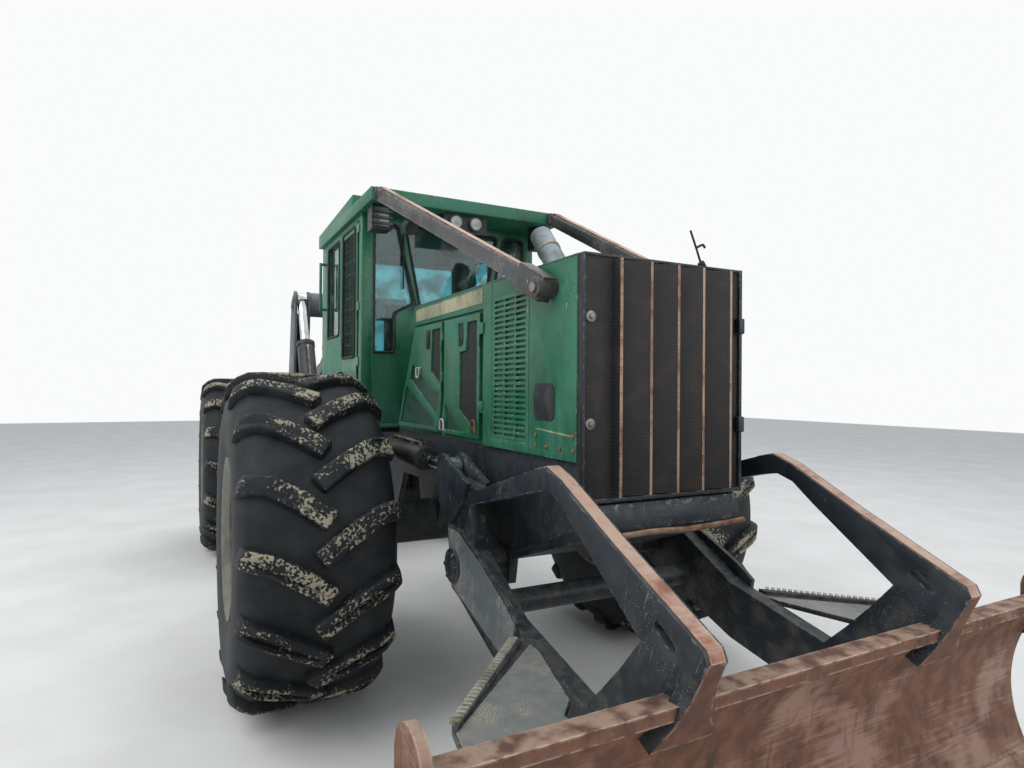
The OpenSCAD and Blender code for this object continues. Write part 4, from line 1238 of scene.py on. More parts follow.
@dataclass
class Tyre:
    """Forestry tyre with deep slanted lugs in two staggered rows."""

    lug_count: int = 16
    lug_height: float = 0.05
    lug_root: float = 0.035
    # Middle line of a lug, as distance round the tyre and across it, from its inner end out
    lug_line: Outline = ((-0.14, -0.035), (-0.03, 0.11), (0.055, 0.25), (0.09, 0.375))
    lug_half: float = 0.052
    lug_taper: Point = (0.88, 0.965, 1)
    lug_edge: float = 0.014
    # Where the tread starts to fall towards the sidewall, in from the side, and how fast
    shoulder: float = 0.15
    shoulder_fall: float = 4.2
    steps: int = 96
    # Sidewall from the bead out, as radius and distance in from the side
    sidewall: Outline = (
        (0.400, 0.064), (0.425, 0.040), (0.462, 0.030), (0.52, 0.016), (0.60, 0.006), (0.69, 0.006),
    )
    # Tread from the sidewall in, as distance below the outer radius and in from the side
    tread: Outline = ((0.165, 0.018), (0.105, 0.048), (0.066, 0.095), (0.054, 0.170), (0.05, 0.27))

    def measure(self, wheel: str) -> None:
        """Reads a wheel's middle and radii from its CAD node.

        Args:
            wheel: Name of the wheel, such as "front_right".
        """
        low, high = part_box(f"tyre_{wheel}")
        self.middle = (low + high) / 2
        self.radius = (high.z - low.z) / 2
        self.half = (high.y - low.y) / 2
        self.base = self.radius - self.lug_height

    def carcass(self) -> Piece:
        """Spins the cross-section round the axle.

        Returns:
            The tyre's body without lugs.
        """
        right_half = [(radius, self.half - inward) for radius, inward in self.sidewall]
        right_half += [(self.radius - below, self.half - inward) for below, inward in self.tread]
        profile = right_half + [(radius, -across) for radius, across in reversed(right_half)]
        obj = ring_mesh("carcass", [(*point, 0) for point in profile], "NOTHING")
        bpy.ops.mesh.spin(steps=self.steps, angle=math.tau, center=(0, 0, 0), axis=(0, 1, 0))
        bpy.ops.mesh.select_all(action="SELECT")
        bpy.ops.mesh.remove_doubles(threshold=0.0005)
        outward()
        obj.data.attributes.new("rise", "FLOAT", "POINT")
        return obj

    def lug(self) -> Piece:
        """Models one lug of the outer row, bent round the tyre.

        Returns:
            The lug's mesh at angle 0.
        """
        outline = [*beside(self.lug_line, -self.lug_half), *reversed(beside(self.lug_line, self.lug_half))]
        obj = ring_mesh("lug", [(*point, -self.lug_root) for point in outline])
        bpy.ops.mesh.normals_make_consistent(inside=False)
        push = (0, 0, self.lug_root + self.lug_height)
        bpy.ops.mesh.extrude_region_move(TRANSFORM_OT_translate={"value": push})
        bpy.ops.transform.resize(value=self.lug_taper)
        bpy.ops.mesh.select_all(action="SELECT")
        bpy.ops.mesh.subdivide(number_cuts=1)
        outward()
        modify(
            obj, "BEVEL", width=self.lug_edge, segments=3, limit_method="ANGLE", angle_limit=math.radians(40),
        )
        tops = obj.data.attributes.new("rise", "FLOAT", "POINT")
        for vertex, top in zip(obj.data.vertices, tops.data):
            around, across, rise = vertex.co
            top.value = rise / self.lug_height
            over = max(0.0, abs(across) - (self.half - self.shoulder))
            radius = self.base + rise - over * over * self.shoulder_fall
            angle = around / self.base
            vertex.co = (radius * math.cos(angle), -across, radius * math.sin(angle))
        return obj

    def build(self, wheel: str) -> None:
        """Builds the tyre of one wheel.

        Args:
            wheel: Name of the wheel.
        """
        self.measure(wheel)
        parts = [self.carcass()]
        first = self.lug()
        turn = math.tau / self.lug_count
        for i in range(self.lug_count):
            parts.append(copy_to(first, Matrix.Rotation(-i * turn, 4, "Y")))
            parts.append(copy_to(first, Matrix.Rotation(-(i + 0.5) * turn, 4, "Y") @ MIRROR))
        bpy.data.objects.remove(first)
        tyre = join(f"tyre_{wheel}_dressed", parts)
        tyre.data.transform(Matrix.Translation(self.middle))
        ready(smooth(tyre, 38), TREAD, f"wheel_{wheel}", f"tyre_{wheel}")


# Body panels and hood


@dataclass
class Panels:
    """Every CAD node that keeps its own form, with its hard edges rounded."""

    kept: tuple[Finish, ...] = (GLASS, CLOTH)

    def build(self) -> None:
        """Rounds the nodes one by one; the glass stays as it is and the seat is left to the cab."""
        for finish, nodes in NODE_FINISHES.items():
            for name in () if finish in self.kept else nodes:
                rounded_node(name, finish)


@dataclass
class HoodTrim:
    """Fittings of the hood's sides: stripe, screens, latches, pulls, rivets, seams and the aerial."""

    face: float = -0.430
    pocket: float = 0.012
    bite: float = 0.001
    # Outlines of the painted shade in each engine door's recesses, drawn as dark green sheets
    shade_fields: tuple[tuple[str, tuple[Outline, ...]], ...] = (
        ("rear", (
            ((1.59, 1.905), (1.96, 1.735), (2.085, 1.715), (2.04, 1.58), (1.545, 1.805)),
            ((1.465, 1.765), (1.995, 1.545), (1.985, 1.505), (1.33, 1.505)),
        )),
        ("front", (
            ((2.185, 1.655), (2.43, 1.505), (2.17, 1.505)),
            ((2.37, 2.11), (2.45, 2.11), (2.45, 1.985), (2.38, 1.975)),
        )),
    )
    screens: tuple[tuple[str, Outline], ...] = (
        ("rear", ((1.955, 2.11), (2.095, 2.11), (2.095, 1.765), (1.935, 1.85))),
        ("front", (
            (2.5, 2.11), (2.63, 2.11), (2.63, 1.57), (2.575, 1.53), (2.385, 1.63), (2.395, 1.95), (2.485, 1.955),
        )),
    )
    # Lowest and highest corner of each latch, and how far it lies back from the face
    latches: tuple[tuple[str, Point2, Point2, float], ...] = (
        ("rear", (1.857, 1.99), (1.925, 2.112), 0.0),
        ("front", (2.386, 1.99), (2.442, 2.1), 0.012),
    )
    # Place of each pull and the way up of its bend
    pulls: tuple[tuple[str, str, Finish, Point2, int], ...] = (
        ("rear_pull", "rear", WHITE_PULL, (1.722, 1.845), -1),
        ("front_pull", "front", WHITE_PULL, (2.16, 1.53), 1),
        ("front_catch", "front", ORANGE_BOLT, (2.61, 1.545), 1),
    )
    # Outline, thickness and edge of what lies on the face
    layers: tuple[tuple[str, Outline, float, float, Finish], ...] = (
        ("stripe", ((1.66, 2.26), (1.652, 2.182), (2.698, 2.192), (2.70, 2.27)), 0.0015, 0, STRIPE),
        (
            "long_rub",
            ((3.25, 1.571), (3.40, 1.562), (3.582, 1.553), (3.582, 1.558), (3.42, 1.568), (3.30, 1.576)),
            0.0006, 0, STRIPE,
        ),
        ("bare_plate", tuple(rounded_outline((3.25, 1.61), (3.425, 1.772), 0.035, 8)), 0.003, 0.001, SEAL),
    )
    rivets: Outline = ((3.27, 1.50), (3.36, 1.50), (3.47, 1.50), (3.57, 1.50), (3.57, 1.56), (3.27, 1.545))
    seams: tuple[tuple[Point2, Point2], ...] = (
        ((3.197, 1.457), (3.2005, 2.282)), ((2.812, 1.457), (2.8155, 2.282)), ((1.62, 2.2815), (3.585, 2.2845)),
    )
    mast: tuple[Point, ...] = ((3.575, 0.26, 2.288), (3.575, 0.236, 2.32), (3.58, 0.203, 2.385), (3.59, 0.162, 2.45))
    whip: tuple[Point, ...] = ((3.58, 0.205, 2.38), (3.58, 0.245, 2.40), (3.575, 0.262, 2.388))
    lining: float = 0.0018
    # Half width at the foot and at the bend, half height, distance off the face and wire radius of a pull
    pull_foot: float = 0.030
    pull_bend: float = 0.026
    pull_half: float = 0.032
    pull_off: float = 0.012
    pull_wire: float = 0.0060
    # Rim of a latch's dish, how far its paddle and lock stand out, and the lock's radius
    latch_rim: float = 0.012
    paddle_out: float = 0.009
    lock_out: float = 0.0065
    lock_radius: float = 0.007

    def layer(self, outline: Sequence[Point2], thick: float, back: float = 0.0, edge: float = 0.0) -> Piece:
        """A thin plate on the hood's face, or lying back from it."""
        near = self.face + back
        return plate("layer", outline, "xz", near - thick, near + self.bite, edge)

    def pull(self, middle: Point2, way: int) -> Piece:
        """A small loop to pull a door by, standing off its face.

        Args:
            middle: Its middle, along the hood and up.
            way: 1 where its bend is at the top, -1 where it is at the bottom.

        Returns:
            The loop.
        """
        x, z = middle
        near, off = self.face + 2 * self.bite, self.face - self.pull_off
        foot, top = z - self.pull_half * way, z + self.pull_half * way
        half = ((self.pull_foot, near, foot), (self.pull_foot, off, foot), (self.pull_bend, off, top))
        route = [(x - out, y, height) for out, y, height in half]
        route += [(x + out, y, height) for out, y, height in reversed(half)]
        return tube("pull", route, self.pull_wire, 10, self.pull_bend)

    def latch(self, low: Point2, high: Point2, back: float) -> list[Piece]:
        """A black latch.

        Args:
            low: Its lowest corner.
            high: Its highest corner.
            back: How far it lies back from the face.

        Returns:
            Its dish, the paddle in it and its lock.
        """
        rim, near = self.latch_rim, self.face + back
        grip = rounded_outline((low[0] + rim, low[1] + 0.02), (high[0] - rim, high[1] - rim), 0.008)
        lock = [((low[0] + high[0]) / 2, near - out, low[1] + rim) for out in (0.002, self.lock_out)]
        return [
            self.layer(rounded_outline(low, high, rim), 0.003, back, 0.001),
            plate("paddle", grip, "xz", near - self.paddle_out, near, 0.002),
            bar("lock", *lock, self.lock_radius, 16, 0.001),
        ]

    def doors(self) -> None:
        """Builds the painted shade in the doors' recesses, and the screens, latches and pulls of the engine doors."""
        # Dark green sheets set back in the doors' recesses are painted shade
        for end, outlines in self.shade_fields:
            shade_sheets = [self.layer(outline, self.lining, self.pocket) for outline in outlines]
            sided(f"engine_door_field_{end}", shade_sheets, PAINTED_SHADE_GREEN, f"engine_door_{{side}}_{end}")
        for end, outline in self.screens:
            screen = self.layer(outline, self.lining, self.pocket)
            sided(f"{end}_door_screen", [screen], SIDE_SCREEN, f"engine_door_{{side}}_{end}")
        for end, low, high, back in self.latches:
            sided(f"{end}_latch", self.latch(low, high, back), SEAL, f"engine_door_{{side}}_{end}")
        for name, end, finish, middle, way in self.pulls:
            sided(name, [self.pull(middle, way)], finish, f"engine_door_{{side}}_{end}")

    def build(self) -> None:
        """Builds the fittings of both sides and the aerial."""
        self.doors()
        for name, outline, thick, edge, finish in self.layers:
            both(name, [self.layer(outline, thick, edge=edge)], finish, "front")
        near = self.face + self.bite
        heads = [stub("rivet", (x, near, z), -0.007, 0.009, 12) for x, z in self.rivets]
        both("hood_rivets", heads, ORANGE_BOLT, "front")
        out = self.face - 0.0006
        seams = [box("seam", (x0, out, z0), (x1, near, z1), 0) for (x0, z0), (x1, z1) in self.seams]
        both("hood_seams", seams, SEAL, "front")
        mast = [
            tube("aerial", self.mast, 0.005, 10, 0.02),
            bar("foot", self.mast[0], self.mast[1], 0.016, 16),
            tube("whip", self.whip, 0.006, 8, 0.01),
        ]
        single("aerial", mast, SEAL, "front")


@dataclass
class GrilleTrim:
    """Rusted seams on the screens' ridges, the frame's rim, washers and edge lugs."""

    face: float = 3.63
    ridge_x: Point2 = (3.676, 3.682)
    ridge_z: Point2 = (1.32, 2.27)
    ridge_y: tuple[float, ...] = (-0.275, -0.124, 0.02, 0.159, 0.318)
    # Start and end across, and height, of each crease in the screens
    creases: tuple[Point, ...] = (
        (-0.275, -0.13, 2.0), (-0.124, 0.015, 1.985), (-0.275, -0.13, 1.66), (-0.124, 0.15, 1.655),
    )
    rim: tuple[tuple[Point, Point, float], ...] = (
        ((3.61, -0.4262, 1.295), (3.633, -0.416, 2.29), 0.002),
        ((3.61, 0.408, 1.295), (3.642, 0.4262, 2.29), 0.004),
        ((3.61, -0.42, 2.278), (3.636, 0.42, 2.2895), 0.002),
        ((3.61, -0.42, 1.294), (3.638, 0.42, 1.312), 0.003),
    )
    bolt_y: float = -0.394
    bolt_z: Point2 = (2.035, 1.61)
    lug_z: Point2 = (2.0, 1.56)

    def build(self) -> None:
        """Builds the trim; all of it swings with the grille door."""
        (x0, x1), (z0, z1) = self.ridge_x, self.ridge_z
        ridges = [box("ridge", (x0, y - 0.0082, z0), (x1, y + 0.0035, z1), 0.0015) for y in self.ridge_y]
        for start, end, z in self.creases:
            ridges.append(box("crease", (self.face - 0.001, start, z), (self.face + 0.0025, end, z + 0.005), 0.001))
        single("screen_ridges", ridges, SEAM, "grille_door")
        single("screen_rim", [box("rim", *row) for row in self.rim], FRAME, "grille_door")
        bolts = []
        for z in self.bolt_z:
            for push, radius, sides, edge in ((0.009, 0.023, 24, 0.002), (0.02, 0.011, 6, 0.001)):
                ends = [(self.face + x, self.bolt_y, z) for x in (0, push)]
                bolts.append(bar("bolt", *ends, radius, sides, edge))
        single("screen_bolts", bolts, BOLT, "grille_door")
        lugs = [box("lug", (self.face, 0.39, z), (self.face + 0.03, 0.424, z + 0.07), 0.006) for z in self.lug_z]
        single("screen_lugs", lugs, FRAME, "grille_door")


# Cab


@dataclass
class Cab:
    """Window seals, door mesh, wiper, lamps and seat of the cab."""

    face: float = 1.231
    side_face: float = -0.688
    rear_face: float = -0.141
    side_pane: Outline = ((-0.6, 2.0), (-0.45, 2.0), (-0.45, 2.29), (-0.312, 2.36), (-0.428, 2.92), (-0.6, 2.92))
    centre_pane: Outline = ((-0.256, 2.34), (0.256, 2.34), (0.372, 2.92), (-0.372, 2.92))
    side_window: Outline = ((0.11, 2.16), (0.53, 2.16), (0.53, 2.92), (0.11, 2.92))
    rear_window: Outline = ((-0.56, 2.0), (0.56, 2.0), (0.56, 2.9), (-0.56, 2.9))
    door_window: Outline = ((0.66, 1.97), (1.04, 1.97), (1.04, 2.925), (0.66, 2.925))
    mesh_cells: tuple[int, int] = (10, 28)
    mesh_y: float = -0.681
    wire: float = 0.0055
    handle: tuple[Point, ...] = (
        (0.64, -0.687, 1.86), (0.64, -0.715, 1.86), (0.64, -0.715, 1.74), (0.64, -0.687, 1.74),
    )
    lock: tuple[Point, Point] = ((0.625, -0.6915, 1.66), (0.66, -0.6865, 1.71))
    lamp_z: float = 2.915
    lamp_y: Point2 = (-0.105, 0.045)
    # Ends along X, radius and sides of a round lamp's lens and bulb
    lamp_rounds: tuple[tuple[float, float, float, int], ...] = ((1.553, 1.560, 0.042, 32), (1.556, 1.564, 0.014, 20))
    # Ends along X, Y and Z of the right-hand square lens
    lens: tuple[Point2, Point2, Point2] = ((1.4975, 1.5005), (0.575, 0.675), (2.835, 2.96))
    wiper_arm: tuple[Point, ...] = ((1.232, -0.29, 2.34), (1.256, -0.30, 2.37), (1.256, -0.385, 2.70))
    wiper_rubber: tuple[Point, Point] = ((1.238, -0.395, 2.46), (1.25, -0.383, 2.86))
    wiper_spindle: tuple[Point, Point] = ((1.22, -0.29, 2.335), (1.255, -0.29, 2.335))
    bowl: tuple[Point, Point] = ((2.02, -0.612, 2.72), (2.075, -0.604, 2.695))
    bowl_wire: tuple[Point, ...] = ((2.02, -0.612, 2.72), (1.99, -0.615, 2.76), (2.03, -0.618, 2.80))
    # Lowest and highest corner of each cushion
    cushions: tuple[tuple[str, Point, Point, tuple[str, ...]], ...] = (
        ("seat_cushion", (0.20, -0.245, 1.785), (0.65, 0.245, 1.90), ()),
        ("seat_back", (0.155, -0.235, 1.90), (0.27, 0.235, 2.49), ("operator_seat",)),
    )
    voxel: float = 0.012
    swell: float = 0.012
    pressure: float = 4.0
    frames: int = 20

    def seal(self, outline: Sequence[Point2], plane: str, depth: float) -> Piece:
        """A rubber seal round a pane, whose corners are given in a plane at a depth on the third axis."""
        route = [in_plane(point, plane, depth) for point in (*outline, outline[0])]
        return tube("seal", route, 0.010, 8, 0.035)

    def seals(self) -> None:
        """Seals of every pane."""
        right = [self.seal(self.side_pane, "yz", self.face), self.seal(self.side_window, "xz", self.side_face)]
        both("window_seals", right, SEAL, "front")
        middle = [self.seal(self.centre_pane, "yz", self.face), self.seal(self.rear_window, "yz", self.rear_face)]
        single("long_window_seals", middle, SEAL, "front")

    def doors(self) -> None:
        """Coated mesh, seal and handle of each door."""
        (x0, z0), (x1, z1) = self.door_window[0], self.door_window[2]
        deselect()
        across, along = self.mesh_cells
        bpy.ops.mesh.primitive_grid_add(x_subdivisions=across, y_subdivisions=along, size=1)
        lattice = bpy.context.active_object
        for vertex in lattice.data.vertices:
            x, z = vertex.co.x + 0.5, vertex.co.y + 0.5
            vertex.co = (x0 + x * (x1 - x0), self.mesh_y, z0 + z * (z1 - z0))
        modify(lattice, "WIREFRAME", thickness=self.wire, use_boundary=True, use_even_offset=False)
        sided("door_mesh", [lattice], MESH, "cab_door_{side}")
        sided("door_seal", [self.seal(self.door_window, "xz", self.side_face)], SEAL, "cab_door_{side}")
        handle = [tube("handle", self.handle, 0.008, 10, 0.02), box("lock", *self.lock, 0.002)]
        sided("door_handle", handle, SEAL, "cab_door_{side}")

    def lamps(self) -> None:
        """Lenses of the work lamps, the wiper of the windshield and the lamp that hangs from a riser."""
        rounds = [
            bar("round", (near, y, self.lamp_z), (far, y, self.lamp_z), radius, sides, 0.004)
            for y in self.lamp_y for near, far, radius, sides in self.lamp_rounds
        ]
        single("round_lenses", rounds, LAMP, "front")
        (x0, x1), span, (z0, z1) = self.lens
        lenses = []
        for side in Side:
            low, high = sorted(side.value * y for y in span)
            lenses.append(box("lens", (x0, low, z0), (x1, high, z1), 0.001))
        single("lamp_lenses", lenses, LENS, "front")
        wiper = [
            tube("arm", self.wiper_arm, 0.006, 8, 0.02),
            box("rubber", *self.wiper_rubber, 0.002),
            bar("spindle", *self.wiper_spindle, 0.02, 20),
        ]
        single("wiper", wiper, SEAL, "front")
        hung = [bar("bowl", *self.bowl, 0.045, 24, 0.01), tube("wire", self.bowl_wire, 0.005, 8, 0.02)]
        single("riser_lamp", hung, SEAL, "front")

    def inflate(self, obj: Piece) -> None:
        """Swells a cushion by a short pressure run, with a cap on how far a point may move.

        Args:
            obj: The cushion; its modifier is applied.
        """
        rest = [vertex.co.copy() for vertex in obj.data.vertices]
        pick(obj)
        cloth = obj.modifiers.new("cover", "CLOTH")
        cloth.settings.use_pressure = True
        cloth.settings.uniform_pressure_force = self.pressure
        cloth.settings.quality = 5
        cloth.settings.effector_weights.gravity = 0.0
        cloth.point_cache.frame_start = 1
        cloth.point_cache.frame_end = self.frames
        for number in range(1, self.frames + 1):
            bpy.context.scene.frame_set(number)
        bpy.ops.object.modifier_apply(modifier=cloth.name)
        bpy.context.scene.frame_set(1)
        for vertex, home in zip(obj.data.vertices, rest):
            moved = vertex.co - home
            if moved.length > self.swell:
                vertex.co = home + moved.normalized() * self.swell

    def seat(self) -> None:
        """The operator's seat: two foam cushions in their covers, over a pedestal."""
        for name, low, high, replaced in self.cushions:
            cushion = box(name, low, high, 0.035, 3)
            modify(cushion, "REMESH", mode="VOXEL", voxel_size=self.voxel)
            self.inflate(cushion)
            modify(cushion, "SUBSURF", levels=1, render_levels=1)
            pick(cushion)
            bpy.ops.object.shade_smooth()
            ready(cushion, CLOTH, "front", *replaced)
        stand = [
            box("stand", (0.27, -0.14, 1.491), (0.53, 0.14, 1.70), 0.01),
            box("pan", (0.20, -0.23, 1.70), (0.63, 0.23, 1.79), 0.02),
        ]
        single("seat_stand", stand, PLASTIC, "front")

    def build(self) -> None:
        """Builds all of the cab's fittings."""
        self.seals()
        self.doors()
        self.lamps()
        self.seat()


# Blade and push frame


@dataclass
class PushFrame:
    """Rubbed caps, made paler as a painted highlight, grey outer plates, pins and grip strips of the push frame, and
    the blade's bolts.
    """

    arm_in: float = -0.563
    arm_out: float = -0.637
    cap_line: Outline = ((3.60, 1.438), (3.69, 1.46), (3.79, 1.425), (4.094, 1.27), (4.5, 1.078), (4.515, 1.045))
    cap_thick: float = 0.0035
    # Half width and height of the claw's face, down from its top at claw_top, leaning out by claw_lean
    claw_half: Outline = ((0.032, -0.002), (0.0415, -0.13), (0.0655, -0.21), (0.1175, -0.2905))
    claw_top: Point = (4.515, -0.6, 1.045)
    claw_lean: Point2 = (0.125, 0.265)
    cover_line: Outline = (
        (2.81, 1.07), (2.935, 1.07), (3.2, 0.977), (3.43, 0.872), (3.505, 0.826), (3.492, 0.756),
        (3.366, 0.669), (3.065, 0.749), (2.865, 0.8),
    )
    step_line: Outline = (
        (3.60, -0.640), (3.67, -0.640), (4.03, -0.74), (4.105, -0.805), (4.28, -0.815), (4.28, -1.172), (4.055, -1.13),
    )
    step_z: float = 0.775
    teeth_line: tuple[Point2, Point2] = ((3.552, -0.682), (4.03, -1.128))
    teeth_count: int = 26
    tooth_half: Point2 = (0.008, 0.016)
    pivot: Point2 = (2.88, 0.9)
    pivot_ring: float = 0.058
    pivot_bolts: int = 6
    edge_bolts: int = 9
    edge_first: float = -1.28
    edge_pitch: float = 0.32

    def cap(self) -> Piece:
        """The bright strip along the strut's upper edge: rubbed metal, made paler as a painted highlight."""
        outline = [*self.cap_line, *reversed(beside(self.cap_line, self.cap_thick))]
        return plate("cap", outline, "xz", self.arm_out + 0.013, self.arm_in - 0.010)

    def claw(self) -> Piece:
        """The rubbed, rusted face of the plate that flares from the strut's tip down over the blade's edge, coloured
        darker as painted shade.

        Returns:
            The face.
        """
        outline = [*self.claw_half, *((-y, z) for y, z in reversed(self.claw_half))]
        face = plate("claw", outline, "yz", -0.001, 0.0014)
        lean = Matrix.Rotation(math.atan2(*self.claw_lean), 4, "Y")
        face.data.transform(Matrix.Translation(self.claw_top) @ lean)
        return face

    def teeth(self) -> list[Piece]:
        """The row of teeth along the slanted edge of the step.

        Returns:
            The teeth.
        """
        start, end = (Vector(point) for point in self.teeth_line)
        run = (end - start).normalized()
        side = Vector((-run.y, run.x))
        a, b = self.tooth_half
        pieces = []
        for i in range(self.teeth_count):
            middle = start + (end - start) * ((i + 0.5) / self.teeth_count)
            corners = [middle + run * u + side * v for u, v in ((-a, -b), (a, -b), (a, b), (-a, b))]
            pieces.append(plate("tooth", corners, "xy", self.step_z + 0.010, self.step_z + 0.024, 0.001))
        return pieces

    def pivots(self) -> list[Piece]:
        """The arm's pivot cap and its ring of bolts.

        Returns:
            The cap and the bolts.
        """
        x, z = self.pivot
        cap = stub("cap", (x, self.arm_out - 0.018, z), -0.016, 0.082, 40, 0.004)
        return [cap, *bolt_ring((x, self.arm_out - 0.03, z), self.pivot_bolts, self.pivot_ring, -0.014, 0.012)]

    def build(self) -> None:
        """Builds the trim of both arms and the blade's edge bolts."""
        # The strut tops' pale strips are rubbed metal and a painted highlight
        both("strut_caps", [self.cap()], CAP_RUB_AND_HIGHLIGHT, "push")
        # The claw face's rust is darkened as painted shade
        both("claw_faces", [self.claw()], CLAW_RUST_AND_SHADE, "push")
        step = plate("step", self.step_line, "xy", self.step_z - 0.001, self.step_z + 0.0012)
        both("step_tops", [step], GREY_PLATE, "push")
        cover = plate("cover", self.cover_line, "xz", self.arm_out - 0.0205, self.arm_out - 0.019)
        both("arm_covers", [cover], GREY_PLATE, "push")
        both("pivot_caps", self.pivots(), FRAME, "push")
        both("step_teeth", self.teeth(), GRIP, "push")
        spots = [self.edge_first + i * self.edge_pitch for i in range(self.edge_bolts)]
        heads = [bar("head", (4.40, y, 0.205), (4.383, y, 0.212), 0.02, 16, 0.003) for y in spots]
        single("edge_bolts", heads, BOLT, "push")


# Upper works and cylinders


@dataclass
class Risers:
    """Rubbed wear strips, made paler as a painted highlight, and bolts of the limb risers."""

    top: Point = (1.63, -0.66, 3.048)
    foot: Point = (3.29, -0.496, 2.269)
    # Half width, and the span of its thickness above the riser's middle line
    strip_half: float = 0.018
    strip_lift: Point2 = (0.0085, 0.0105)
    strip_gap: float = 0.004

    def build(self) -> None:
        """Builds a slim bright rub strip, partly a painted highlight on the riser's top, and the foot's pin and bolt
        on both sides.
        """
        start, end = Vector(self.top), Vector(self.foot)
        run = (end - start).normalized()
        across = run.cross(Vector((0, 0, 1))).normalized()
        lift = across.cross(run).normalized()
        low = (self.strip_gap, -self.strip_half, self.strip_lift[0])
        high = ((end - start).length - self.strip_gap, self.strip_half, self.strip_lift[1])
        strip = box("strip", low, high, 0)
        strip.data.transform(Matrix.Translation(start) @ Matrix((run, across, lift)).transposed().to_4x4())
        pick(strip)
        bpy.ops.object.mode_set(mode="EDIT")
        outward()
        # The riser strips' pale tone is rubbed metal and a painted highlight
        both("riser_strips", [strip], CAP_RUB_AND_HIGHLIGHT, "front")
        pins = [
            stub("pin", (3.41, -0.527, 2.17), -0.011, 0.022, 20),
            stub("bolt", (3.34, -0.512, 2.205), -0.010, 0.012, 6, 0.001),
        ]
        both("riser_pins", pins, BOLT, "front")


@dataclass
class BellyLip:
    """The torn, rusted lower lip of the belly pan's nose."""

    reach: float = 0.425
    radius: float = 0.013
    line: Outline = ((3.652, 1.168), (3.655, 1.158), (3.65, 1.164), (3.653, 1.154), (3.65, 1.16), (3.654, 1.168))

    def build(self) -> None:
        """Builds the lip as a slightly wavy rolled edge."""
        step = 2 * self.reach / (len(self.line) - 1)
        route = [(x, -self.reach + i * step, z) for i, (x, z) in enumerate(self.line)]
        ready(tube("belly_lip", route, self.radius, 12, 0.06), LIP, "front")


@dataclass
class Exhaust:
    """A black disc of painted shade over the stack's open mouth, and its two clamp bands."""

    foot: Point = (2.35, 0.33, 2.37)
    mouth: Point = (1.9, 0.38, 2.8)
    mouth_radius: float = 0.066
    band_radius: float = 0.0795
    band_width: float = 0.03
    bands: Point2 = (0.12, 0.42)

    def build(self) -> None:
        """Builds the black disc of painted shade at the mouth, and two bands."""
        start, end = Vector(self.foot), Vector(self.mouth)
        run = (end - start).normalized()
        # A thin black disc closes the mouth: painted shade of the open bore
        ready(bar("mouth", end - run * 0.001, end + run * 0.0015, self.mouth_radius, 32, 0), SEAL, "front")
        bands = []
        for along in self.bands:
            edges = (start + run * along, start + run * (along + self.band_width))
            bands.append(bar("band", *edges, self.band_radius, 40, 0.003))
        single("stack_bands", bands, BOLT, "front")


@dataclass
class Cylinder:
    """A hydraulic cylinder's rings, ports and hard pipe, on its barrel's own body."""

    name: str
    base: Point2
    eye: Point2
    across: float
    neck: float
    end: float
    radius: float
    side: float = 1.0

    def spot(self, along: float, out: float = 0.0) -> Point:
        """A point of the right-hand cylinder.

        Args:
            along: Distance from the base's pin.
            out: Distance from the barrel's middle.

        Returns:
            The point.
        """
        start, end = Vector(self.base), Vector(self.eye)
        run = (end - start).normalized()
        spot = start + run * along + Vector((run.y, -run.x)) * self.side * out
        return spot.x, -self.across, spot.y

    def build(self) -> None:
        """Builds the fittings of the right-hand and left-hand cylinder."""
        rings = [
            bar("ring", self.spot(start), self.spot(end), self.radius + proud, 40, 0.002)
            for start, end, proud in (
                (self.end - 0.05, self.end - 0.001, 0.006), (self.neck + 0.002, self.neck + 0.03, 0.004),
            )
        ]
        both(f"{self.name}_rings", rings, BARREL, self.name)
        low, high = self.neck + 0.08, self.end - 0.09
        root, reach = self.radius - 0.005, self.radius + 0.02
        route = (self.spot(low, root), self.spot(low, reach), self.spot(high, reach), self.spot(high, root))
        pieces = [tube("pipe", route, 0.008, 10, 0.02)]
        length = high - low
        for along, proud, radius, sides in (
            (low, 0.012, 0.017, 6), (high, 0.012, 0.017, 6),
            (low + length * 0.35, 0.024, 0.012, 12), (low + length * 0.7, 0.024, 0.012, 12),
        ):
            ends = (self.spot(along, self.radius - 0.004), self.spot(along, self.radius + proud))
            pieces.append(bar("fitting", *ends, radius, sides, 0.001))
        both(f"{self.name}_pipes", pieces, BOLT, self.name)


CYLINDERS = (
    Cylinder("blade_barrels", (1.6, 1.365), (2.73, 1.345), 0.6, 0.07, 0.735, 0.062, side=-1.0),
    Cylinder("arch_barrels", (-0.83, 1.2), (-1.64, 2.71), 0.62, 0.13, 1.15, 0.088),
    Cylinder("boom_barrels", (-1.73, 1.48), (-2.38, 2.24), 0.22, 0.085, 0.74, 0.06),
)


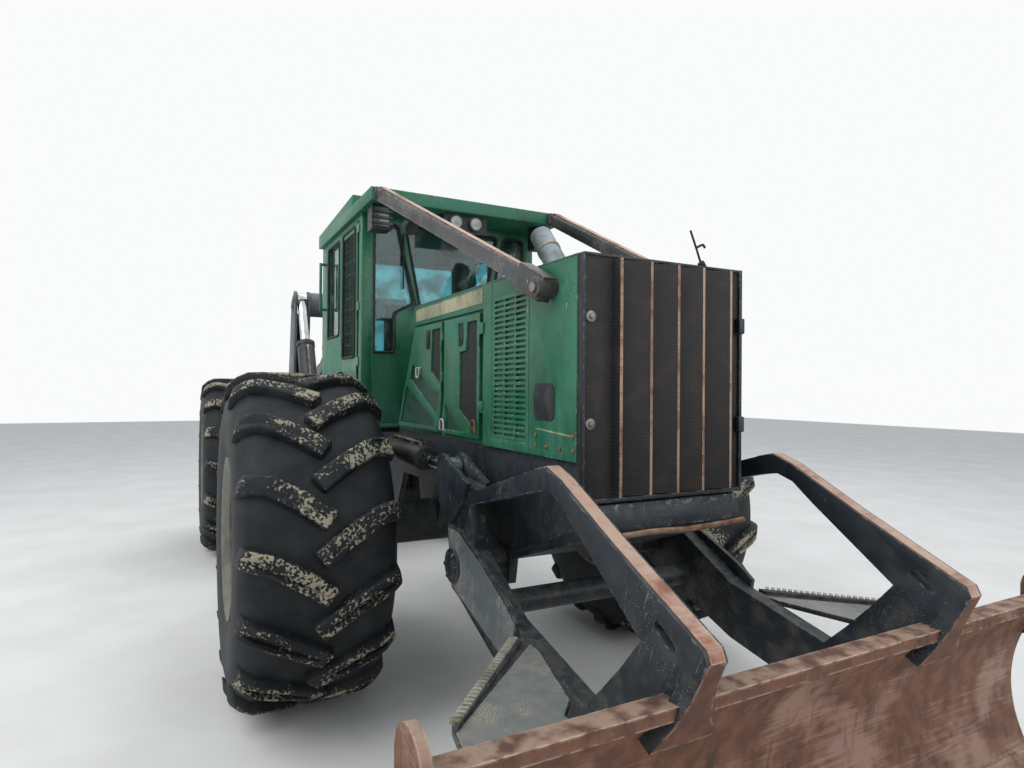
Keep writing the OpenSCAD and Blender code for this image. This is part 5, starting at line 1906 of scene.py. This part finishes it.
@dataclass
class Pins:
    """Pin ends and keepers of the arch and boom."""

    # Body, place in X and Z, distance from the middle, and radius of each pin
    ends: tuple[tuple[str, Point2, float, float], ...] = (
        ("arch", (-1.95, 1.23), 0.702, 0.04),
        ("arch", (-1.72, 2.65), 0.702, 0.045),
        ("arch", (-1.64, 2.71), 0.702, 0.028),
        ("boom", (-4.19, 1.62), 0.152, 0.05),
    )

    def build(self) -> None:
        """Builds a washer, a pin end and a bolt at every pin."""
        for number, (body, (x, z), out, radius) in enumerate(self.ends):
            parts = [
                stub("washer", (x, -out + 0.001, z), -0.007, radius * 1.5, 28),
                stub("end", (x, -out - 0.004, z), -0.012, radius, 28, 0.003),
                stub("bolt", (x + radius * 1.15, -out, z), -0.014, 0.009, 6, 0.001),
            ]
            both(f"pin_ends_{number}", parts, BOLT, body)


@dataclass
class Wheel:
    """Nuts and hub cap of a wheel."""

    # Count, radius of the ring, distance from the middle, and size of each set of nuts
    rings: tuple[tuple[int, float, float, float], ...] = ((12, 0.255, 1.19, 0.017), (16, 0.172, 1.34, 0.011))
    nut_height: float = 0.022
    cap: tuple[float, float, float] = (1.398, 0.014, 0.09)

    def build(self, wheel: str) -> None:
        """Builds the nuts and the cap of one wheel.

        Args:
            wheel: Name of the wheel.
        """
        low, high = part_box(f"tyre_{wheel}")
        middle = (low + high) / 2
        side = (Side.RIGHT if "right" in wheel else Side.LEFT).value
        nuts = []
        for count, radius, face, size in self.rings:
            foot = (middle.x, side * (face - 0.002), middle.z)
            nuts += bolt_ring(foot, count, radius, side * self.nut_height, size)
        face, height, radius = self.cap
        nuts.append(stub("cap", (middle.x, side * face, middle.z), side * height, radius, 32, 0.004))
        single(f"nuts_{wheel}", nuts, BOLT, f"wheel_{wheel}")


def dress_nodes() -> None:
    """Gives every CAD node its finish; pieces that are modelled anew replace theirs later."""
    for finish, nodes in NODE_FINISHES.items():
        for name in nodes:
            coat(frame["nodes"][name], finish)
    for wheel in WHEELS:
        coat(frame["nodes"][f"tyre_{wheel}"], TREAD)


def main() -> None:
    """Builds the studio and every sub-assembly in order."""
    Studio().build()
    dress_nodes()
    for assembly in (Panels(), HoodTrim(), GrilleTrim(), Cab(), PushFrame(), Risers(), BellyLip(), Exhaust()):
        assembly.build()
    for assembly in (*CYLINDERS, Pins()):
        assembly.build()
    for wheel in WHEELS:
        Tyre().build(wheel)
        Wheel().build(wheel)


if __name__ == "__main__":
    main()
